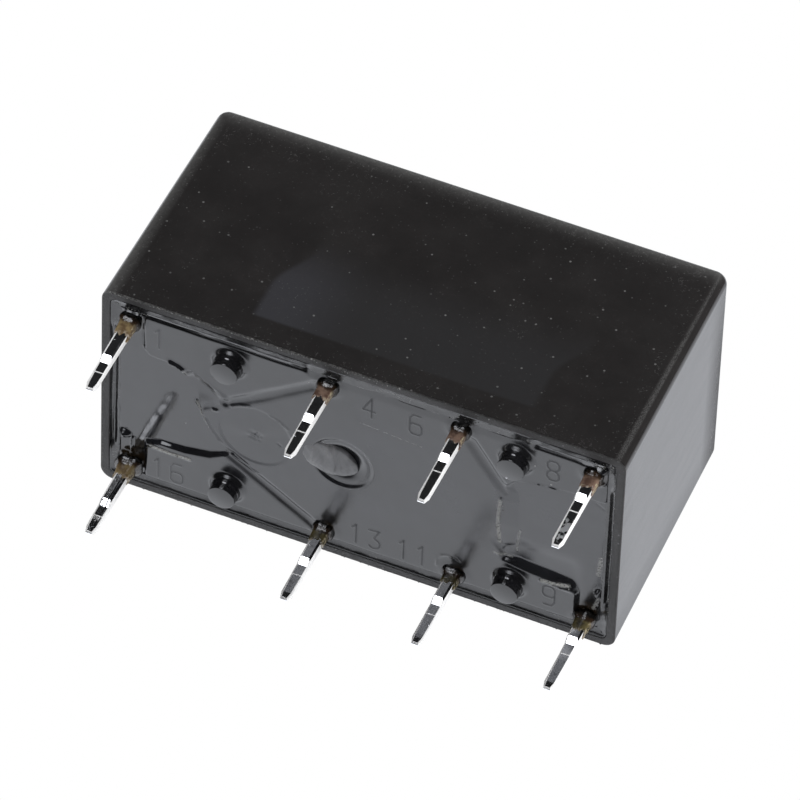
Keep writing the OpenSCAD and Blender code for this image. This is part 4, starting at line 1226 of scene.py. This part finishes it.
def make_collars():
    bm = bmesh.new()
    half_w, half_t = PIN_W / 2, PIN_T / 2
    last = len(COLLAR_RINGS) - 1
    for name, (pin_x, pin_y) in PINS.items():
        spread, creep, start = COLLARS[name]
        made = bmesh.ops.create_grid(bm, x_segments=COLLAR_STEPS, y_segments=last, size=0.5)["verts"]
        for vert in made:
            turn = (vert.co.x + 0.5) * 2 * math.pi
            out, drop = COLLAR_RINGS[round((vert.co.y + 0.5) * last)]
            c, s = math.cos(turn), math.sin(turn)
            sides = abs(c / half_w) ** COLLAR_POWER + abs(s / half_t) ** COLLAR_POWER
            square = 1 / sides ** (1 / COLLAR_POWER)
            swell = 1 + 0.14 * math.sin(2 * turn + start) + 0.08 * math.sin(5 * turn + 2.3 * start)
            wide = 1 + (spread - 1) * (1 if drop < THIN_DROP else 0.3)
            reach = square + out * swell * wide
            ragged = 1
            if drop > RAGGED_DROP:
                ragged += 0.07 * math.sin(3 * turn + 1.7 * start) + 0.05 * math.sin(7 * turn + start)
            vert.co = Vector((pin_x + c * reach, pin_y + s * reach, RIM_Z - drop * creep * ragged))
    bmesh.ops.remove_doubles(bm, verts=bm.verts, dist=MERGE_DIST)
    bmesh.ops.holes_fill(bm, edges=open_edges(bm), sides=0)
    bmesh.ops.recalc_face_normals(bm, faces=bm.faces)
    finish_piece("terminal_collars", bm, "collar_resin", ["terminal_seals"])


# Cloudy plug in the vent, laid down in ripples that open towards +X
PLUG_PLACE = (-1.19, 0.1, 0.11)
PLUG_HALF_X = 1.06
PLUG_HALF_Y = 0.79
PLUG_SKEW = 0.16
PLUG_LOW = 0.13
PLUG_HIGH = 0.4
PLUG_LEAN = 0.07
PLUG_WAVE = 0.014
PLUG_WAVE_FINE = 0.002


def make_vent_plug():
    bm = bmesh.new()
    bmesh.ops.create_uvsphere(bm, u_segments=112, v_segments=72, radius=1.0)
    for vert in bm.verts:
        x, y, z = vert.co
        ring = math.hypot(x + 1.0, y * 0.8)
        turn = math.atan2(y, x)
        wave, high = 0, PLUG_HIGH
        if z < 0:
            wave = PLUG_WAVE * math.sin(ring * 9) + PLUG_WAVE_FINE * math.sin(ring * 23 + 1)
            high = PLUG_LOW
        wobble = 1 + 0.02 * math.sin(3 * turn + 1) + 0.015 * math.sin(5 * turn)
        vert.co = Vector((
            PLUG_PLACE[0] + (x * PLUG_HALF_X + y * PLUG_SKEW) * wobble,
            PLUG_PLACE[1] + y * PLUG_HALF_Y * wobble,
            RIM_Z + PLUG_PLACE[2] + PLUG_LEAN * x + z * high - wave * z
        ))
    finish_piece("vent_resin", bm, "plug_resin", ["vent_plug"])


# Terminals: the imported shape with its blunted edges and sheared, bright sides
TERMINALS = [name for name in nodes if "_terminal_" in name]
FRONT_BLUNT = 0.05
BLADE_SLIM = 0.04
EDGE_BLUNT = 0.012
# Where the coined front lies from the terminal's middle, and below which height
COINED_Y = (-0.13, 0.05)
COINED_Z = -0.3
LEVEL_EDGE = 0.01
# Height where the front's left flat begins to widen towards the tip, and over which it does
WIDEN_Z = -1.9
WIDEN_OVER = 0.8
# Height where the blade begins to slim, and over which it does
SLIM_Z = -0.35
SLIM_OVER = 0.5
# Where the front's flats lie from the terminal's middle, within what distance of their place, and how
# far the left one moves in, how much further at the tip, and how far the right one moves out
FLAT_Y = (-0.1, -0.01)
FLAT_TOL = 0.012
FLAT_LEFT = 0.01
FLAT_WIDER = 0.04
FLAT_RIGHT = 0.02
# Least angle in degrees and least length of an edge that is blunted
SHARP_DEG = 20
SHORT_EDGE = 0.1


def held(value):
    """Value held between 0 and 1."""
    return min(max(value, 0), 1)


def round_front(edge, pin_y, tip_z):
    """True for an edge beside the coined front, or at the end of it."""
    a, b = (v.co for v in edge.verts)
    coined = all(COINED_Y[0] < co.y - pin_y < COINED_Y[1] and co.z < COINED_Z for co in (a, b))
    return coined and (abs(a.z - b.z) > LEVEL_EDGE or a.z < tip_z + LEVEL_EDGE)


def make_terminal(node):
    pin_x, pin_y = PINS[node.split("_")[-1]]
    bm = bmesh.new()
    bm.from_mesh(nodes[node].data)
    bmesh.ops.scale(bm, vec=(1 / MM, 1 / MM, 1 / MM), verts=bm.verts)
    bmesh.ops.remove_doubles(bm, verts=bm.verts, dist=MERGE_DIST)
    bmesh.ops.dissolve_limit(bm, angle_limit=math.radians(2), verts=bm.verts, edges=bm.edges)
    tip_z = min(v.co.z for v in bm.verts)
    front = [e for e in bm.edges if round_front(e, pin_y, tip_z)]
    bevel(bm, front, FRONT_BLUNT, 1)
    for vert in bm.verts:
        beside = vert.co.x - pin_x
        at_flat = abs(abs(beside) - PIN_W / 2 + FRONT_BLUNT) < FLAT_TOL
        if at_flat and FLAT_Y[0] < vert.co.y - pin_y < FLAT_Y[1] and vert.co.z < COINED_Z:
            lower = held((WIDEN_Z - vert.co.z) / WIDEN_OVER)
            vert.co.x += FLAT_LEFT + FLAT_WIDER * lower if beside < 0 else FLAT_RIGHT * (1 - lower)
    sharp = []
    for edge in bm.edges:
        if len(edge.link_faces) != 2 or edge.calc_face_angle(0) < math.radians(SHARP_DEG):
            continue
        a, b = (v.co for v in edge.verts)
        across = abs(a.z - b.z) < LEVEL_EDGE and max(a.z, b.z) < RIM_Z
        across_front = across and max(a.y, b.y) < pin_y
        if not across_front and edge.calc_length() > SHORT_EDGE:
            sharp.append(edge)
    bevel(bm, sharp, EDGE_BLUNT, 1)
    for vert in bm.verts:
        slim = BLADE_SLIM * held((SLIM_Z - vert.co.z) / SLIM_OVER)
        vert.co.x = pin_x + (vert.co.x - pin_x) * (1 - slim / (PIN_W / 2))
    bm.normal_update()
    # The sheared sides take the bright tin; the front's blunted edges, ramps, reliefs and tips take it as
    # a painted glint
    for face in bm.faces:
        n = face.normal
        middle = face.calc_center_median()
        below = min(v.co.z for v in face.verts) < RIM_Z - 0.1
        beside = abs(n.x) > 0.3 and n.y < -0.3 and (n.x < 0 or middle.y - pin_y > -0.13)
        if below and (abs(n.x) > 0.9 or beside or (n.y < -0.5 and n.z < -0.5)):
            face.material_index = 1
    piece = finish_piece("coined_" + node, bm, "tinned_terminal", [node])
    piece.data.shade_flat()
    piece.data.materials.append(SHEARED_TIN_AND_PAINTED_GLINT)


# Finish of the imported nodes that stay
def dress_packed_nodes():
    for part in frame["record"]["subparts"]:
        mesh = nodes[part["node"]].data
        mesh.materials.clear()
        mesh.materials.append(MATERIALS[part["material_slot"]])


# Floor, lamps and surroundings
FLOOR_HALF = 1500
FLOOR_GAP = 0.005


def add_floor():
    """Pale floor under the terminals, which lets the camera see through from below."""
    bm = bmesh.new()
    bmesh.ops.create_grid(bm, x_segments=1, y_segments=1, size=FLOOR_HALF * MM)
    mesh = bpy.data.meshes.new("floor")
    bm.to_mesh(mesh)
    bm.free()
    floor = bpy.data.objects.new("floor", mesh)
    floor.location.z = cad_low[2] - FLOOR_GAP * MM
    show(floor)
    material = bpy.data.materials.new("pale_floor")
    material.use_nodes = True
    g = Graph(material.node_tree)
    plain = g.add("ShaderNodeBsdfDiffuse", inputs={"Color": gray(0.9)})
    clear = g.add("ShaderNodeBsdfTransparent")
    below = g.add("ShaderNodeNewGeometry", output="Backfacing")
    mixed = g.add("ShaderNodeMixShader", inputs={0: below, 1: plain, 2: clear})
    g.finish("ShaderNodeOutputMaterial", mixed)
    mesh.materials.append(material)
    floor.visible_glossy = False


def add_area_lamp(name, place, size, watts):
    """Round lamp that faces the part. Gloss doesn't see it."""
    data = bpy.data.lights.new(name, "AREA")
    data.shape = "DISK"
    data.size = size * MM
    data.energy = watts
    lamp = bpy.data.objects.new(name, data)
    lamp.matrix_world = Matrix.Translation(Vector(place) * MM) @ (
        Vector(place).to_track_quat("Z", "Y").to_matrix().to_4x4()
    )
    lamp.visible_glossy = False
    show(lamp)


# Way to each soft box, the closeness to it where its light begins and is full, and its strength
HIGH_BOX = (Vector((-0.246, -0.94, -0.24)).normalized(), 0.965, 0.982, 7.0)
LOW_BOX = (Vector((-0.246, -0.60, -0.76)).normalized(), 0.982, 0.990, 4.0)
NEAR_BOX = (Vector((-0.246, -0.739, -0.627)).normalized(), 0.93, 0.975, 1.0)
TABLE_TINT = (0.945, 0.972, 1.03, 1.0)
DARK_ROOM = 0.014
SIDE_LAMP_PLACE = (290, -40, 12)
SIDE_LAMP_SIZE = 60
SIDE_LAMP_WATTS = 0.6
DIFFUSE_GLOW = 0.8


def add_world():
    """White to the camera. Gloss sees a white table on the +Y side, soft boxes and a dark room."""
    world = bpy.data.worlds.new("studio")
    world.use_nodes = True
    bpy.context.scene.world = world
    g = Graph(world.node_tree)
    way = g.add("ShaderNodeTexCoord", output="Generated")
    _, y, z = g.parts(way)
    table = g.ramp(y, 0.2, 0.36)
    near = g.ramp(z, 0.6, -0.6, 1.0, 1.8)
    glossy_light = g.math("ADD", g.times(table, near), DARK_ROOM)
    for middle, low, high, glow in (HIGH_BOX, LOW_BOX, NEAR_BOX):
        inputs = {0: way, 1: tuple(middle)}
        toward = g.add("ShaderNodeVectorMath", output="Value", inputs=inputs, operation="DOT_PRODUCT")
        glossy_light = g.math("ADD", glossy_light, g.ramp(toward, low, high, 0.0, glow))
    ray = g.tree.nodes.new("ShaderNodeLightPath")
    mirrored = g.math("MAXIMUM", ray.outputs["Is Glossy Ray"], ray.outputs["Is Transmission Ray"])
    strength = g.blend(mirrored, DIFFUSE_GLOW, glossy_light)
    seen = g.blend(ray.outputs["Is Camera Ray"], strength, 1.0)
    tint = g.mix(mirrored, gray(1), TABLE_TINT)
    background = g.add("ShaderNodeBackground", inputs={"Color": tint, "Strength": seen})
    g.finish("ShaderNodeOutputWorld", background)


add_camera()
dress_packed_nodes()
make_base()
make_cover()
make_rim_seal()
make_crumbs()
make_collars()
make_vent_plug()
for terminal in TERMINALS:
    make_terminal(terminal)
add_floor()
add_area_lamp("side_lamp", SIDE_LAMP_PLACE, SIDE_LAMP_SIZE, SIDE_LAMP_WATTS)
add_world()
bpy.context.scene.view_settings.view_transform = "Standard"
